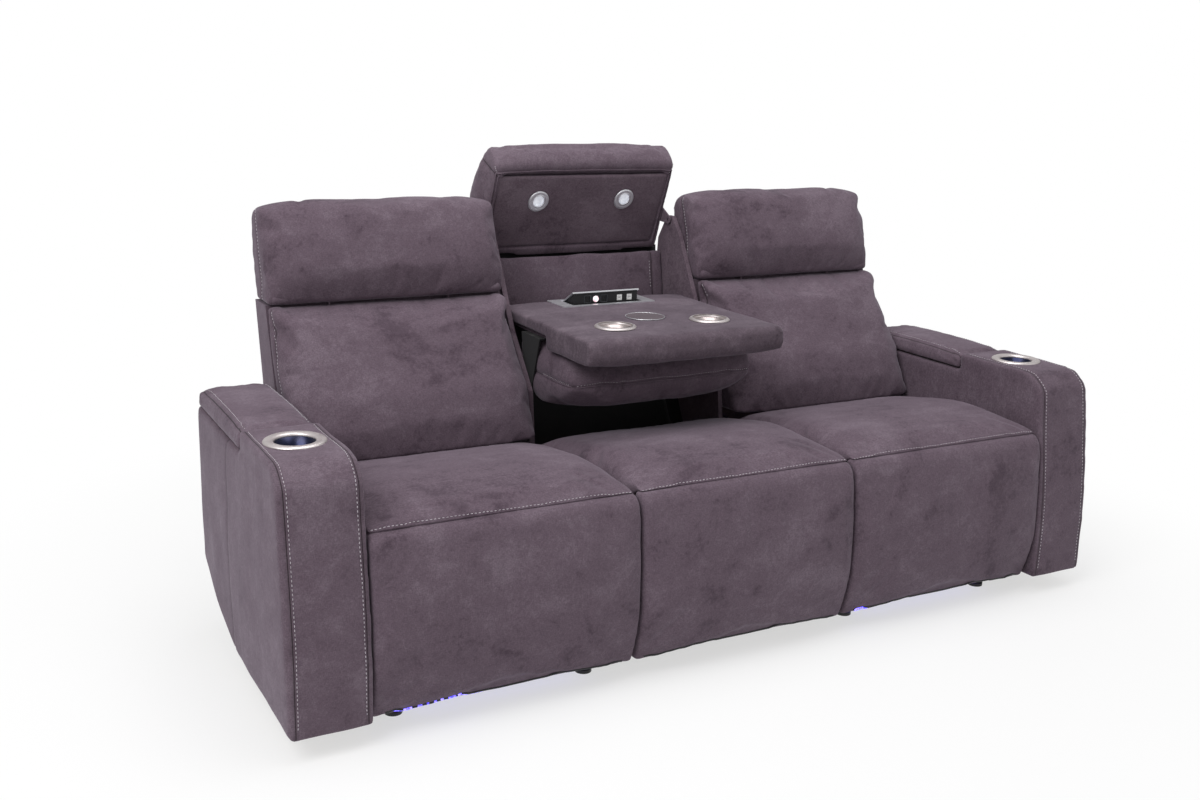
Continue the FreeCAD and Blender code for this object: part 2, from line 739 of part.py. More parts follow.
def mechanism(side, centre):
    """Side plates with their cross tubes, parallel cranks and couplers, motor and travelling nut."""
    outer = f"{RAIL_X} + plate / 2"
    inner = f"{RAIL_X} - plate / 2"
    crank_out = f"{inner} - link_gap"
    crank_in = f"{crank_out} - plate"
    coupler_out = f"{crank_in} - link_gap"
    coupler_in = f"{coupler_out} - plate"
    lug_out = f"{coupler_in} - link_gap"
    lug_in = f"{lug_out} - plate"
    crank_top = ("crank_y", "crank_z")
    crank_end = ("crank_y + crank_offset", "crank_z - crank_drop")
    lug_pin = ("hinge_y + crank_offset", "hinge_z - crank_drop")
    back_pivot = ("back_pivot_y", "back_pivot_z")
    shoe_z = "rail_z + rail_height + seat_clearance"
    plate_top = "deck_z - deck_height - seat_clearance"
    bearing = "link_pin + pin_clearance"

    plates = new_body()
    side_view = [
        ("crank_y - 90", plate_top),
        ("crank_y - 90", "crank_z - 12"),
        ("crank_y - 30", "crank_z - 34"),
        ("crank_y + 24", "drive_z"),
        ("crank_y + 55", shoe_z),
        ("back_pivot_y - 70", shoe_z),
        ("back_pivot_y - 40", "shoe_width + 140"),
        ("back_pivot_y + 18", "back_pivot_z - 60"),
        ("back_pivot_y + 18", "back_pivot_z + 12"),
        ("back_pivot_y + 8", "back_pivot_z + 20"),
        ("back_pivot_y - 8", "back_pivot_z + 20"),
        ("back_pivot_y - 18", "back_pivot_z + 12"),
        ("back_pivot_y - 18", plate_top),
    ]
    pad(plates, "YZ", inner, outer, [side_view])
    shoe = rectangle("crank_y + 55", "back_pivot_y - 70", shoe_z, f"{shoe_z} + plate")
    pad(plates, "YZ", f"{outer} - shoe_width", outer, [shoe])
    window = [
        ("crank_y + 95", f"{shoe_z} + 40"),
        ("back_pivot_y - 100", f"{shoe_z} + 40"),
        ("back_pivot_y - 60", f"{plate_top} - 45"),
        ("crank_y + 70", f"{plate_top} - 45"),
    ]
    pocket(plates, "YZ", f"{inner} - 1", f"{outer} + 1", [window])
    pad(plates, "YZ", f"{outer}", f"{outer} + 8", circles=[(back_pivot, "back_pin")])
    pocket(plates, "YZ", f"{inner} - 1", f"{outer} + 1", circles=[(crank_top, bearing)])
    ear_front = "panel_front_y + panel_depth + panel_board + seat_clearance + 1.7"
    ear_rear = "hinge_y + roll_radius + roll_gap + 5.5"
    ear = [
        ("crank_y - 90", plate_top),
        ("crank_y - 90", f"{plate_top} - 33"),
        (f"{ear_front} + 26", f"{plate_top} - 33"),
        (ear_front, f"{plate_top} - 15"),
        (ear_front, "hinge_z - 21"),
        ("hinge_y", "hinge_z - 9"),
        ("hinge_y", "hinge_z + 9"),
        ("hinge_y + roll_radius - 3", "hinge_z - 8"),
        ("hinge_y + roll_radius + 3", "hinge_z - 28"),
        (ear_rear, "hinge_z - 34"),
        (ear_rear, plate_top),
    ]
    pad(plates, "YZ", inner, outer, [ear])
    pad(plates, "YZ", inner, outer, circles=[(("hinge_y", "hinge_z"), "9")])
    pad(plates, "YZ", f"{inner} - 11", f"{outer} + 11", circles=[(("hinge_y", "hinge_z"), "footrest_pin")])
    mirror_across(plates)
    for tube_y, tube_z in (("crank_y - 72", "crank_z + 12"), ("back_pivot_y - 50", "drive_z + 25")):
        pad(plates, "YZ", f"-({inner})", inner, circles=[((tube_y, tube_z), "tube_radius")])
    place(plates, f"{side}_mechanism_plates", centre)

    cranks = new_body()
    link_outline_plate(cranks, crank_top, crank_end, crank_in, crank_out)
    pocket(cranks, "YZ", f"{crank_in} - 1", f"{crank_out} + 1", circles=[(crank_end, bearing)])
    mirror_across(cranks)
    pad(cranks, "YZ", f"-({outer} + 3)", f"{outer} + 3", circles=[(crank_top, "link_pin")])
    pad(cranks, "YZ", f"-({crank_in})", crank_in, circles=[(crank_top, "11")])
    place(cranks, f"{side}_footrest_cranks", centre)

    couplers = new_body()
    link_outline_plate(couplers, crank_end, lug_pin, coupler_in, coupler_out)
    pocket(couplers, "YZ", f"{coupler_in} - 1", f"{coupler_out} + 1", circles=[(lug_pin, f"{bearing} + seat_clearance")])
    pad(couplers, "YZ", coupler_out, f"{crank_out} + 1", circles=[(crank_end, "link_pin")])
    mirror_across(couplers)
    place(couplers, f"{side}_footrest_couplers", centre)

    lugs = new_body()
    board_back = "panel_front_y + panel_depth + panel_board + seat_clearance"
    lug = [
        (board_back, "hinge_z - crank_drop + 34"),
        (board_back, "hinge_z - crank_drop - 34"),
        ("hinge_y + crank_offset + 4", "hinge_z - crank_drop - 12"),
        ("hinge_y + crank_offset + 12", "hinge_z - crank_drop"),
        ("hinge_y + crank_offset + 4", "hinge_z - crank_drop + 12"),
    ]
    pad(lugs, "YZ", lug_in, lug_out, [lug])
    foot = rectangle(board_back, f"{board_back} + plate", "hinge_z - crank_drop - 34", "hinge_z - crank_drop + 34")
    pad(lugs, "YZ", f"{lug_in} - 22", lug_out, [foot])
    pad(lugs, "YZ", lug_out, f"{coupler_out} + 1", circles=[(lug_pin, "link_pin")])
    mirror_across(lugs)
    board = panel_board(f"{OUTER_WIDTH} / 2 - side_gap - 12")
    place(fused(board, lugs), f"{side}_footrest_board", centre)

    motor = new_body()
    tube_y = "back_pivot_y - 50"
    seat_y = f"{tube_y} - tube_radius - seat_clearance"
    pad(motor, "XZ", "drive_front_y", seat_y, [rectangle("-16", "16", "drive_z - 12", "drive_z + 4")])
    slot = rectangle("-9", "9", "drive_z - 6", "drive_z + 5")
    pocket(motor, "XZ", "drive_front_y + 14", f"{tube_y} - 90", [slot])
    pad(motor, "XZ", f"{tube_y} - 90", seat_y, [rectangle("-26", "26", "drive_z - 22", "drive_z + 30")])
    pad(motor, "XY", "drive_z - 90", "drive_z - 22", circles=[(("0", f"{tube_y} - 50"), "24")])
    place(motor, f"{side}_drive_motor", centre)

    nut = new_body()
    nut_y = f"{tube_y} - 115"
    pad(nut, "XZ", f"{nut_y} - 15", f"{nut_y} + 15", [rectangle("-8.6", "8.6", "drive_z - 5.6", "drive_z + 22")])
    place(nut, f"{side}_drive_nut", centre)


def back_pieces(side, centre, half):
    """Back frame with its tail and pivot brackets, lumbar cushion and headrest."""
    frame = new_body()
    shell = [
        ("frame_foot_y", "back_bottom_z"),
        ("frame_rear_foot_y", "back_bottom_z"),
        ("frame_rear_head_y", "crease_z"),
        ("frame_head_y", "crease_z"),
    ]
    pad(frame, "YZ", f"-({half})", half, [shell])
    tail = [
        ("frame_foot_y + 44", "frame_tail_z"),
        ("frame_rear_foot_y - 36", "frame_tail_z"),
        ("frame_rear_foot_y", "back_bottom_z"),
        ("frame_foot_y + 44", "back_bottom_z"),
    ]
    pad(frame, "YZ", f"-{TAIL_HALF}", TAIL_HALF, [tail])

    brackets = new_body()
    eye = ("back_pivot_y", "back_pivot_z")
    low = TAIL_HALF
    high = f"{low} + plate"
    tongue = [
        ("back_pivot_y", "back_pivot_z - 16"),
        ("frame_foot_y + 46", "back_pivot_z - 50"),
        ("frame_rear_foot_y - 14", "back_pivot_z - 50"),
        ("frame_rear_foot_y - 10", "back_bottom_z - 12"),
        ("frame_foot_y + 40", "back_bottom_z - 12"),
        ("back_pivot_y", "back_pivot_z + 16"),
    ]
    pad(brackets, "YZ", low, high, [tongue])
    pad(brackets, "YZ", low, high, circles=[(eye, "16")])
    pocket(brackets, "YZ", f"{low} - 1", f"{high} + 1", circles=[(eye, "back_pin + pin_clearance")])
    mirror_across(brackets)

    lugs = new_body()
    hinge = ("headrest_pivot_y", "headrest_pivot_z")
    lug_low = "headrest_lug_x - plate / 2"
    lug_high = "headrest_lug_x + plate / 2"
    neck = rectangle("headrest_pivot_y - 5", "headrest_pivot_y + 9", "crease_z - 30", "headrest_pivot_z")
    foot = rectangle("headrest_pivot_y - 5", "frame_head_y + 2", "crease_z - 30", "crease_z - 12")
    pad(lugs, "YZ", lug_low, lug_high, [neck])
    pad(lugs, "YZ", lug_low, lug_high, [foot])
    pad(lugs, "YZ", lug_low, lug_high, circles=[(hinge, "9")])
    pad(lugs, "YZ", f"{lug_low} - 12", f"{lug_high} + 12", circles=[(hinge, "headrest_pin")])
    mirror_across(lugs)
    place(fused(frame, brackets, lugs), f"{side}_back_frame", centre)

    gap = size("seat_clearance")
    low_z = size("back_bottom_z")
    crease = size("crease_z")
    front = size("back_front_y")
    foot = size("frame_foot_y") - gap
    rise = (crease - 6 - low_z) / (crease - low_z)
    head = foot + rise * size("frame_head_y - frame_foot_y")
    drop = size("back_edge_drop")

    def lumbar_section(x, sag):
        inset = drop * sag
        return section(
            x,
            (foot, low_z),
            ((head, crease - 6),),
            ((head - 34, crease - 6 - inset * 0.1),),
            ((head - 66, crease - 22), (head - 96 + inset, crease - 50)),
            ((front + 108 + inset, crease - 138), (front + 52 + inset, crease - 211)),
            ((front + 17 + inset, crease - 296), (front + inset * 0.8, low_z)),
        )

    width = size(half)
    lumbar = soft_loft(width, lumbar_section)
    pivot_y = size("headrest_pivot_y")
    lug_sides = [(sign * size("headrest_lug_x") - 3, sign * size("headrest_lug_x") + 3) for sign in (-1, 1)]
    for sides in lug_sides:
        lumbar = lumbar.cut(solid_box(sides, (pivot_y - 10, head + 5), (crease - 31, crease + 5)))
    soft_piece(f"{side}_lumbar_cushion", lumbar, centre)

    top = size("back_top_z")
    lip = size("headrest_front_y")
    rear = size("headrest_rear_y")
    rear_foot = size("frame_rear_head_y")
    base = crease + 4.5

    def headrest_section(x, sag):
        inset = drop * sag
        return section(
            x,
            (rear_foot - inset * 0.15, base),
            ((rear - inset * 0.15, top - 60 - inset * 0.3),),
            ((rear - 15, top - 15 - inset), (rear - 58, top - inset)),
            ((lip + 84, top - 13 - inset), (lip + 55 + inset, top - 48 - inset * 0.4)),
            ((lip + 19 + inset, top - 120), (lip + inset, top - 195)),
            ((lip + 3 + inset * 0.8, top - 223), (lip + 21 + inset * 0.3, base)),
        )

    headrest = soft_loft(width, headrest_section)
    pin = size("headrest_pin + pin_clearance")
    for low_x, high_x in lug_sides:
        axis = lambda x: Vector(x, pivot_y, size("headrest_pivot_z"))
        headrest = headrest.cut(Part.makeCylinder(14, high_x - low_x, axis(low_x), Vector(1, 0, 0)))
        mouth = solid_box((low_x, high_x), (pivot_y - 12.5, pivot_y + 11), (base - 5, size("headrest_pivot_z")))
        headrest = headrest.cut(mouth)
        headrest = headrest.cut(Part.makeCylinder(pin, high_x - low_x + 24, axis(low_x - 12), Vector(1, 0, 0)))
    soft_piece(f"{side}_headrest", headrest, centre)


def outer_seat(side, sign):
    centre = f"{sign} * {OUTER_CENTRE}"
    half = f"{OUTER_WIDTH} / 2 - side_gap"
    width = size(half)
    base_frame(sign, centre)
    soft_piece(f"{side}_seat_cushion", seat_cushion_shape(width), centre)
    soft_piece(f"{side}_footrest_pad", hinged_panel_shape(width), centre)
    deck = seat_deck(f"{RAIL_X} + plate / 2 + 15", "hinge_y + roll_radius + roll_gap + 8", "seat_rear_y")
    place(deck, f"{side}_seat_deck", centre)
    mechanism(side, centre)
    back_pieces(side, centre, half)


# Middle seat and the fixed centre back


def middle_seat():
    half = "middle_width / 2 - side_gap"
    width = size(half)
    soft_piece("middle_seat_cushion", seat_cushion_shape(width))
    soft_piece("middle_front_panel", front_panel_shape(width))
    frame = new_body()
    box_half = MIDDLE_BOX_HALF
    front = "panel_front_y + panel_depth + panel_board + seat_clearance"
    rear = "seat_rear_y + 60"
    pad(frame, "XY", "floor_gap + 12", "deck_z - deck_height",
        [rectangle(f"-({box_half})", box_half, front, rear)])
    inside = rectangle(f"18 - ({box_half})", f"{box_half} - 18", f"{front} + 18", f"{rear} - 18")
    pocket(frame, "XY", "0", "deck_z", [inside])
    deck = seat_deck(box_half, "hinge_y + roll_radius + roll_gap + 8", "seat_rear_y")
    place(fused(panel_board(f"{half} - 12"), frame, deck), "middle_seat_frame")


def centre_back():
    """Two cheeks joined by two rails, the pins in them, and the padded panel behind the raised headrest."""
    inner = CHEEK_INNER
    outer = f"{inner} + cheek"
    console_pivot = ("console_pivot_y", "console_pivot_z")
    visor_pivot = ("visor_pivot_y", "visor_pivot_z")
    cheeks = new_body()
    side_view = [
        ("console_pivot_y - 190", "floor_gap + 60"),
        ("seat_rear_y + 58", "floor_gap + 60"),
        ("console_pivot_y + 110", "deck_z - 60"),
        ("recess_front_y + 36", "recess_bottom_z - 20"),
        ("visor_pivot_y + 60", "visor_pivot_z - 60"),
        ("visor_pivot_y + 14", "visor_pivot_z + 10"),
        ("visor_pivot_y - 14", "visor_pivot_z + 10"),
        ("visor_pivot_y - 56", "visor_pivot_z - 40"),
        ("console_pivot_y + 76", "console_pivot_z + 140"),
        ("console_pivot_y - 40", "console_pivot_z"),
        ("console_pivot_y - 60", "deck_z"),
        ("console_pivot_y - 190", "deck_z - 60"),
    ]
    pad(cheeks, "YZ", inner, outer, [side_view])
    holes = [(console_pivot, "console_pin"), (visor_pivot, "visor_pin")]
    pocket(cheeks, "YZ", f"{inner} - 1", f"{outer} + 1", circles=[(c, f"{r} + pin_clearance") for c, r in holes])
    mirror_across(cheeks)
    for y, z in (("console_pivot_y + 8", "console_pivot_z - 305"), ("recess_front_y + 34", "recess_bottom_z + 30")):
        rail = rectangle(f"{y} - 9", f"{y} + 9", f"{z} - 20", f"{z} + 20")
        pad(cheeks, "YZ", f"-({inner})", inner, [rail])
    place(cheeks, "centre_back_frame")

    pins = new_body()
    pad(pins, "YZ", f"{inner} - 9", outer, circles=[(console_pivot, "console_pin")])
    pad(pins, "YZ", f"{inner} - 6.2", outer, circles=[(visor_pivot, "visor_pin")])
    mirror_across(pins)
    place(pins, "centre_pivot_pins")

    panel = new_body()
    lean = f"(recess_top_z - recess_bottom_z) * tan(recess_lean)"
    front = ("recess_front_y", f"recess_front_y - {lean}")
    panel_half = f"{inner} - seat_clearance"
    pad(panel, "YZ", f"-({panel_half})", panel_half, [[
        (front[1], "recess_bottom_z"),
        (f"{front[1]} + recess_pad", "recess_bottom_z - 6"),
        (f"{front[0]} + recess_pad", "recess_top_z - 6"),
        (front[0], "recess_top_z"),
    ]])
    round_corners(panel, "6", [(front[0], "recess_top_z"), (front[1], "recess_bottom_z")])
    place(panel, "centre_recess_panel")


def console():
    """Folding table: padded top on a board, steel arms, back cushion beneath, cups and charging pad."""
    half = size("tray_width / 2")
    top = size("tray_top_z")
    low = size("tray_top_z - tray_height")
    tail = size("tray_top_z - tray_tail_height")
    front = size("tray_front_y")
    rear = size("tray_rear_y")
    step = size("tray_step_y")
    gap = size("seat_clearance")

    def tray_section(x, sag):
        inset = 7 * sag
        return section(
            x,
            (step, low + inset),
            ((step, tail),),
            ((rear - 14 - inset, tail),),
            ((rear - 1 - inset, tail + 8), (rear - 4 - inset, top - 14 - inset * 0.4)),
            ((rear - 10 - inset, top - 3 - inset * 0.5), (rear - 24 - inset, top - inset * 0.6)),
            ((front + 22 + inset, top - inset * 0.6),),
            ((front + 3 + inset, top - 9 - inset * 0.6), (front - 2 + inset, top - 30)),
            ((front + 1 + inset, low + 16), (front + 20 + inset, low + inset)),
        )

    cover = soft_loft(half, tray_section)
    board_top = tail
    board_low = board_top - size("tray_board")
    board_front = front + 32
    slot = solid_box((-half + 18, half - 18), (board_front - gap, rear), (board_low - gap, board_top))
    cover = cover.cut(slot)
    cup_hole = size("tray_cup_bore / 2 + cup_wall + 1")
    for x in (-size("tray_cup_x"), size("tray_cup_x")):
        floor = top - size("tray_cup_depth") - 1
        cover = cover.cut(Part.makeCylinder(cup_hole, 200, Vector(x, size("tray_cup_y"), floor)))
    cover = cover.cut(Part.makeCylinder(size("charger_diameter / 2") + gap, 50, Vector(0, size("charger_y"), top - 4)))
    well_x = size("flap_length / 2 + outlet_wall + 6")
    well_y = size("outlet_width / 2 - outlet_rim + outlet_wall + 1")
    middle = size("outlet_y")
    cover = cover.cut(solid_box((-well_x, well_x), (middle - well_y, middle + well_y), (low - 5, top + 5)))
    soft_piece("tray_cover", cover)

    board = new_body()
    board_z = "tray_top_z - tray_tail_height - seat_clearance"
    pad(board, "XY", f"{board_z} - tray_board + seat_clearance", board_z,
        [rectangle("19 - tray_width / 2", "tray_width / 2 - 19", "tray_front_y + 32", "tray_rear_y - 18")])
    cups = [((f"{sign} * tray_cup_x", "tray_cup_y"), "tray_cup_bore / 2 + cup_wall + 1") for sign in (-1, 1)]
    pocket(board, "XY", f"{board_z} - 30", f"{board_z} + 1", circles=cups)
    well = rectangle("-flap_length / 2 - outlet_wall - 6", "flap_length / 2 + outlet_wall + 6",
                     "outlet_y - outlet_width / 2 + outlet_rim - outlet_wall - 1",
                     "outlet_y + outlet_width / 2 - outlet_rim + outlet_wall + 1")
    pocket(board, "XY", f"{board_z} - 30", f"{board_z} + 1", [well])
    place(board, "tray_board")

    arms = new_body()
    arm_in = "tray_width / 2 - 5"
    arm_out = f"{arm_in} + plate"
    eye = ("console_pivot_y", "console_pivot_z")
    under = "tray_top_z - tray_tail_height - tray_board - 2 * seat_clearance"
    pad(arms, "YZ", arm_in, arm_out, [[
        ("console_pivot_y - 18", "console_pivot_z"),
        ("console_pivot_y + 18", "console_pivot_z"),
        ("console_pivot_y + 46", under),
        ("console_pivot_y - 64", under),
    ]])
    pad(arms, "YZ", arm_in, arm_out, circles=[(eye, "18")])
    pocket(arms, "YZ", f"{arm_in} - 1", f"{arm_out} + 1", circles=[(eye, "console_pin + pin_clearance")])
    flange = rectangle("console_pivot_y - 64", "console_pivot_y + 46", f"{under} - plate", under)
    pad(arms, "YZ", f"{arm_out} - 26", arm_out, [flange])
    mirror_across(arms)
    place(arms, "console_arms")

    seat_z = low - gap
    cushion_front = size("cushion_front_y")
    cushion_low = size("cushion_bottom_z")
    cushion_rear = size("console_pivot_y") - 12

    def cushion_section(x, sag):
        inset = 20 * sag
        return section(
            x,
            (step + 1, seat_z),
            ((cushion_front + 42 + inset * 0.6, seat_z),),
            ((cushion_front + 14 + inset, seat_z - 30), (cushion_front + inset, seat_z - 68)),
            ((cushion_front + 34 + inset, cushion_low + 16 + inset), (cushion_front + 92, cushion_low + inset * 0.8)),
            ((cushion_front + 180, cushion_low - 1 + inset * 0.6), (cushion_rear - 44, cushion_low + 20 + inset * 0.5)),
            ((cushion_rear - 8, cushion_low + 62), (cushion_rear, board_low - 8)),
            ((step + 1, board_low - 8),),
        )

    soft_piece("console_cushion", soft_loft(size("cushion_width / 2"), cushion_section))

    cup_nodes = []
    for sign in (-1, 1):
        cup = cup_holder("tray_cup_bore", "tray_cup_ring", "tray_cup_depth")
        bind(cup, Placement__Base__x=f"{sign} * tray_cup_x", Placement__Base__y="tray_cup_y",
             Placement__Base__z="tray_top_z + seat_clearance")
        cup_nodes.append(cup)
    place(fused(*cup_nodes), "tray_cup_holders")

    charger = new_body()
    revolve(charger, [
        ("0", "-4"),
        ("charger_diameter / 2", "-4"),
        ("charger_diameter / 2", "1"),
        ("charger_diameter / 2 - 3", "1.8"),
        ("charger_diameter / 2 - 6", "1"),
        ("0", "1"),
    ])
    place(charger, "charging_pad")
    bind(charger, Placement__Base__y="charger_y", Placement__Base__z="tray_top_z + seat_clearance")


def outlet_strip():
    """Pop-up outlet strip: rim, well, hinged flap with its socket face, USB ports and lit button."""
    half_x = "outlet_length / 2"
    well_x = "flap_length / 2 + flap_side_gap"
    rim_low = "tray_top_z + seat_clearance"
    front = "outlet_y - outlet_width / 2"
    rear = "outlet_y + outlet_width / 2"
    rim = new_body()
    pad(rim, "XY", rim_low, f"{rim_low} + 2.5", [rectangle(f"-({half_x})", half_x, front, rear)])
    window = rectangle(f"-({well_x})", well_x, f"{front} + outlet_rim", f"{rear} - outlet_rim")
    pocket(rim, "XY", f"{rim_low} - 1", f"{rim_low} + 4", [window])
    corners = [(x, y) for x in (f"-({half_x})", half_x) for y in (front, rear)]
    round_corners(rim, "5", corners, "XY")
    place(rim, "outlet_rim")

    well = new_body()
    wall = rectangle(f"-({well_x} + outlet_wall)", f"{well_x} + outlet_wall",
                     f"{front} + outlet_rim - outlet_wall", f"{rear} - outlet_rim + outlet_wall")
    pad(well, "XY", f"{rim_low} - outlet_depth", f"{rim_low} - 0.05", [wall])
    pocket(well, "XY", f"{rim_low} - outlet_depth + outlet_wall", rim_low, [window])
    pivot = (f"{rear} - outlet_rim - 5", f"{rim_low} - flap_thick")
    pocket(well, "YZ", f"-({well_x} + outlet_wall + 1)", f"{well_x} + outlet_wall + 1",
           circles=[(pivot, "flap_pin + pin_clearance")])
    place(well, "outlet_well")

    hinge = Vector(0, size(pivot[0]), size(pivot[1]))
    reach = size("outlet_width - 2 * outlet_rim") - 8
    half = size("flap_length / 2")
    gap = size("seat_clearance")
    tilt = math.radians(size("flap_angle"))
    forward = Vector(0, -math.cos(tilt), math.sin(tilt))
    downward = Vector(0, -math.sin(tilt), -math.cos(tilt))

    def on_flap(along, depth):
        """A point below the raised flap, by its way from the hinge and its depth under the plate."""
        return hinge + forward * along + downward * depth

    def bar(points, half_length):
        """A bar along X with the given cross section."""
        corners = [Vector(-half_length, p.y, p.z) for p in points]
        return Part.Face(Part.makePolygon(corners + corners[:1])).extrude(Vector(2 * half_length, 0, 0))

    thick = size("flap_thick")
    plate = bar([on_flap(0, 0), on_flap(reach, 0), on_flap(reach, -thick), on_flap(0, -thick)], half)
    pin_half = half + size("flap_side_gap + outlet_wall - 0.5")
    for name, reach_x in (("flap_barrel", half), ("flap_pin", pin_half)):
        start = hinge - Vector(reach_x, 0, 0)
        plate = plate.fuse(Part.makeCylinder(size(name), 2 * reach_x, start, Vector(1, 0, 0)))
    soft_piece("outlet_lid", plate)

    brow = on_flap(reach - 3, gap)
    foot = brow - Vector(0, 0, size("flap_face"))
    face = bar([brow, foot, foot + Vector(0, 9, 0), on_flap(20, 12), on_flap(20, gap)], half - 4)
    middle_z = brow.z - size("flap_face") / 2 + 3
    radius = size("button_radius")
    button_x = -half * 0.3

    def sunk(x, half_size, start, end):
        """A square block let into the socket face, between two depths behind it."""
        return solid_box(
            (x - half_size, x + half_size), (brow.y + start, brow.y + end), (middle_z - half_size, middle_z + half_size)
        )

    button_at = Vector(button_x, brow.y, middle_z)
    into = Vector(0, 1, 0)
    face = face.cut(Part.makeCylinder(radius + 0.2, 7.5, button_at - into, into))
    for x in (button_x - 26, button_x + 26):
        face = face.cut(sunk(x, 10, -1, 2.5))
    ports = []
    for x in (half * 0.42, half * 0.72):
        face = face.cut(sunk(x, 8 + gap, -1, 6 + gap))
        slot = solid_box((x - 5, x + 5), (brow.y - 1, brow.y + 3), (middle_z - 2, middle_z + 2))
        ports.append(sunk(x, 8, 0, 6).cut(slot))
    soft_piece("outlet_face", face)
    soft_piece("usb_ports", Part.makeCompound(ports))
    soft_piece("outlet_button", Part.makeCylinder(radius, 4.5, button_at - into * 2, into))


# Centre headrest, raised


def centre_headrest():
    low = (size("visor_low_y"), size("visor_low_z"))
    lip = (size("visor_lip_y"), size("visor_lip_z"))
    top_z = size("visor_top_z")
    rear = size("visor_rear_y")
    along = Vector(0, lip[0] - low[0], lip[1] - low[1])
    length = along.Length
    along.normalize()
    inward = Vector(0, along.z, -along.y)

    def visor_section(x, sag):
        inset = 16 * sag
        return section(
            x,
            (low[0], low[1] + inset * 0.4),
            ((lip[0], lip[1] - inset * 0.4),),
            ((lip[0] + 20, lip[1] + 36 - inset), (lip[0] + 54, top_z - 3 - inset)),
            ((lip[0] + 115, top_z - 54 - inset), (rear - 16 - inset, top_z - 128)),
            ((rear - inset, top_z - 163), (rear - 5 - inset, top_z - 190)),
            ((rear - 12 - inset, top_z - 218), (rear - 33 - inset * 0.4, top_z - 240)),
        )

    def on_panel(x, share, depth):
        """A point behind the lit face, by its share of the way from the low edge to the lip."""
        return Vector(x, *low) + along * (share * length) + inward * depth

    def panel_block(half, low_share, high_share, near, far):
        corners = [on_panel(-half, s, d) for s, d in
                   ((low_share, near), (high_share, near), (high_share, far), (low_share, far))]
        return Part.Face(Part.makePolygon(corners + corners[:1])).extrude(Vector(2 * half, 0, 0))

    half = size("visor_width / 2")
    gap = size("seat_clearance")
    thick = size("light_panel")
    margin = 0.09
    share_gap = gap / length
    cushion = soft_loft(half, visor_section)
    cushion = cushion.cut(panel_block(half - 24, margin, 1 - margin, -5, thick + 3))
    radius = size("light_diameter / 2")
    lights = [on_panel(x, 0.62, 0) for x in (-size("light_x"), size("light_x"))]
    panel = panel_block(half - 24 - gap, margin + share_gap, 1 - margin - share_gap, 3 - gap, thick + 3 - gap)
    bezels = []
    lenses = []
    for spot in lights:
        panel = panel.cut(Part.makeCylinder(radius - 6, 60, spot - inward * 20, inward))
        cushion = cushion.cut(Part.makeCylinder(radius - 6, thick + 22, spot, inward))
        ring = Part.makeCylinder(radius, 2.6, spot + inward * (-2.6 + 3 - 2 * gap), inward)
        can = Part.makeCylinder(radius - 6.2, 26, spot + inward * (-2.6 + 3 - 2 * gap), inward)
        hollow = Part.makeCylinder(radius - 9, 22, spot + inward * -4, inward)
        bezels.append(ring.fuse(can).cut(hollow))
        lenses.append(Part.makeCylinder(radius - 9.2, 5, spot + inward * 2, inward))
    soft_piece("centre_headrest", cushion)
    soft_piece("centre_light_panel", panel)
    soft_piece("reading_light_bezels", Part.makeCompound(bezels))
    soft_piece("reading_light_lenses", Part.makeCompound(lenses))

    arms = new_body()
    arm_in = "visor_width / 2 + seat_clearance"
    arm_out = f"{arm_in} + plate"
    eye = ("visor_pivot_y", "visor_pivot_z")
    pad(arms, "YZ", arm_in, arm_out, [[
        ("visor_pivot_y - 4", "visor_pivot_z - 12"),
        ("visor_low_y - 8", "visor_pivot_z - 8"),
        ("visor_low_y + 34", "visor_pivot_z + 40"),
        ("visor_low_y + 10", "visor_pivot_z + 60"),
        ("visor_pivot_y - 2", "visor_pivot_z + 13"),
    ]])
    pad(arms, "YZ", arm_in, arm_out, circles=[(eye, "13")])
    pocket(arms, "YZ", f"{arm_in} - 1", f"{arm_out} + 1", circles=[(eye, "visor_pin + pin_clearance")])
    mirror_across(arms)
    place(arms, "centre_headrest_arms")


# Feet and the light strip under the seats


def feet():
    pieces = []
    for sign in SIDES.values():
        for foot_side in (-1, 1):
            for y in ("foot_front_y", "foot_rear_y"):
                foot = new_body()
                revolve(foot, [
                    ("0", "0"),
                    ("foot_radius", "0"),
                    ("foot_radius", "8"),
                    ("foot_radius * 0.6", "12"),
                    ("foot_radius * 0.6", "rail_z + 5 - seat_clearance"),
                    ("0", "rail_z + 5 - seat_clearance"),
                ])
                bind(foot, Placement__Base__x=f"{sign} * {OUTER_CENTRE} + {foot_side} * {FOOT_X}", Placement__Base__y=y)
                pieces.append(foot)
    place(fused(*pieces), "feet")


def light_strip():
    strips = [
        block(f"{sign} * {OUTER_CENTRE} - {FOOT_X} + 20", f"{sign} * {OUTER_CENTRE} + {FOOT_X} - 20", "foot_front_y - 12",
              "foot_front_y - 2", "rail_z + 1.7", "rail_z + 4.7")
        for sign in SIDES.values()
    ]
    place(fused(*strips), "light_strips")


for name, sign in SIDES.items():
    arm_pieces(name, sign)
    outer_seat(name, sign)
middle_seat()
centre_back()
console()
outlet_strip()
centre_headrest()
feet()
light_strip()
for label, pieces in GROUPS.items():
    place(fused(*pieces), label)
doc.recompute()

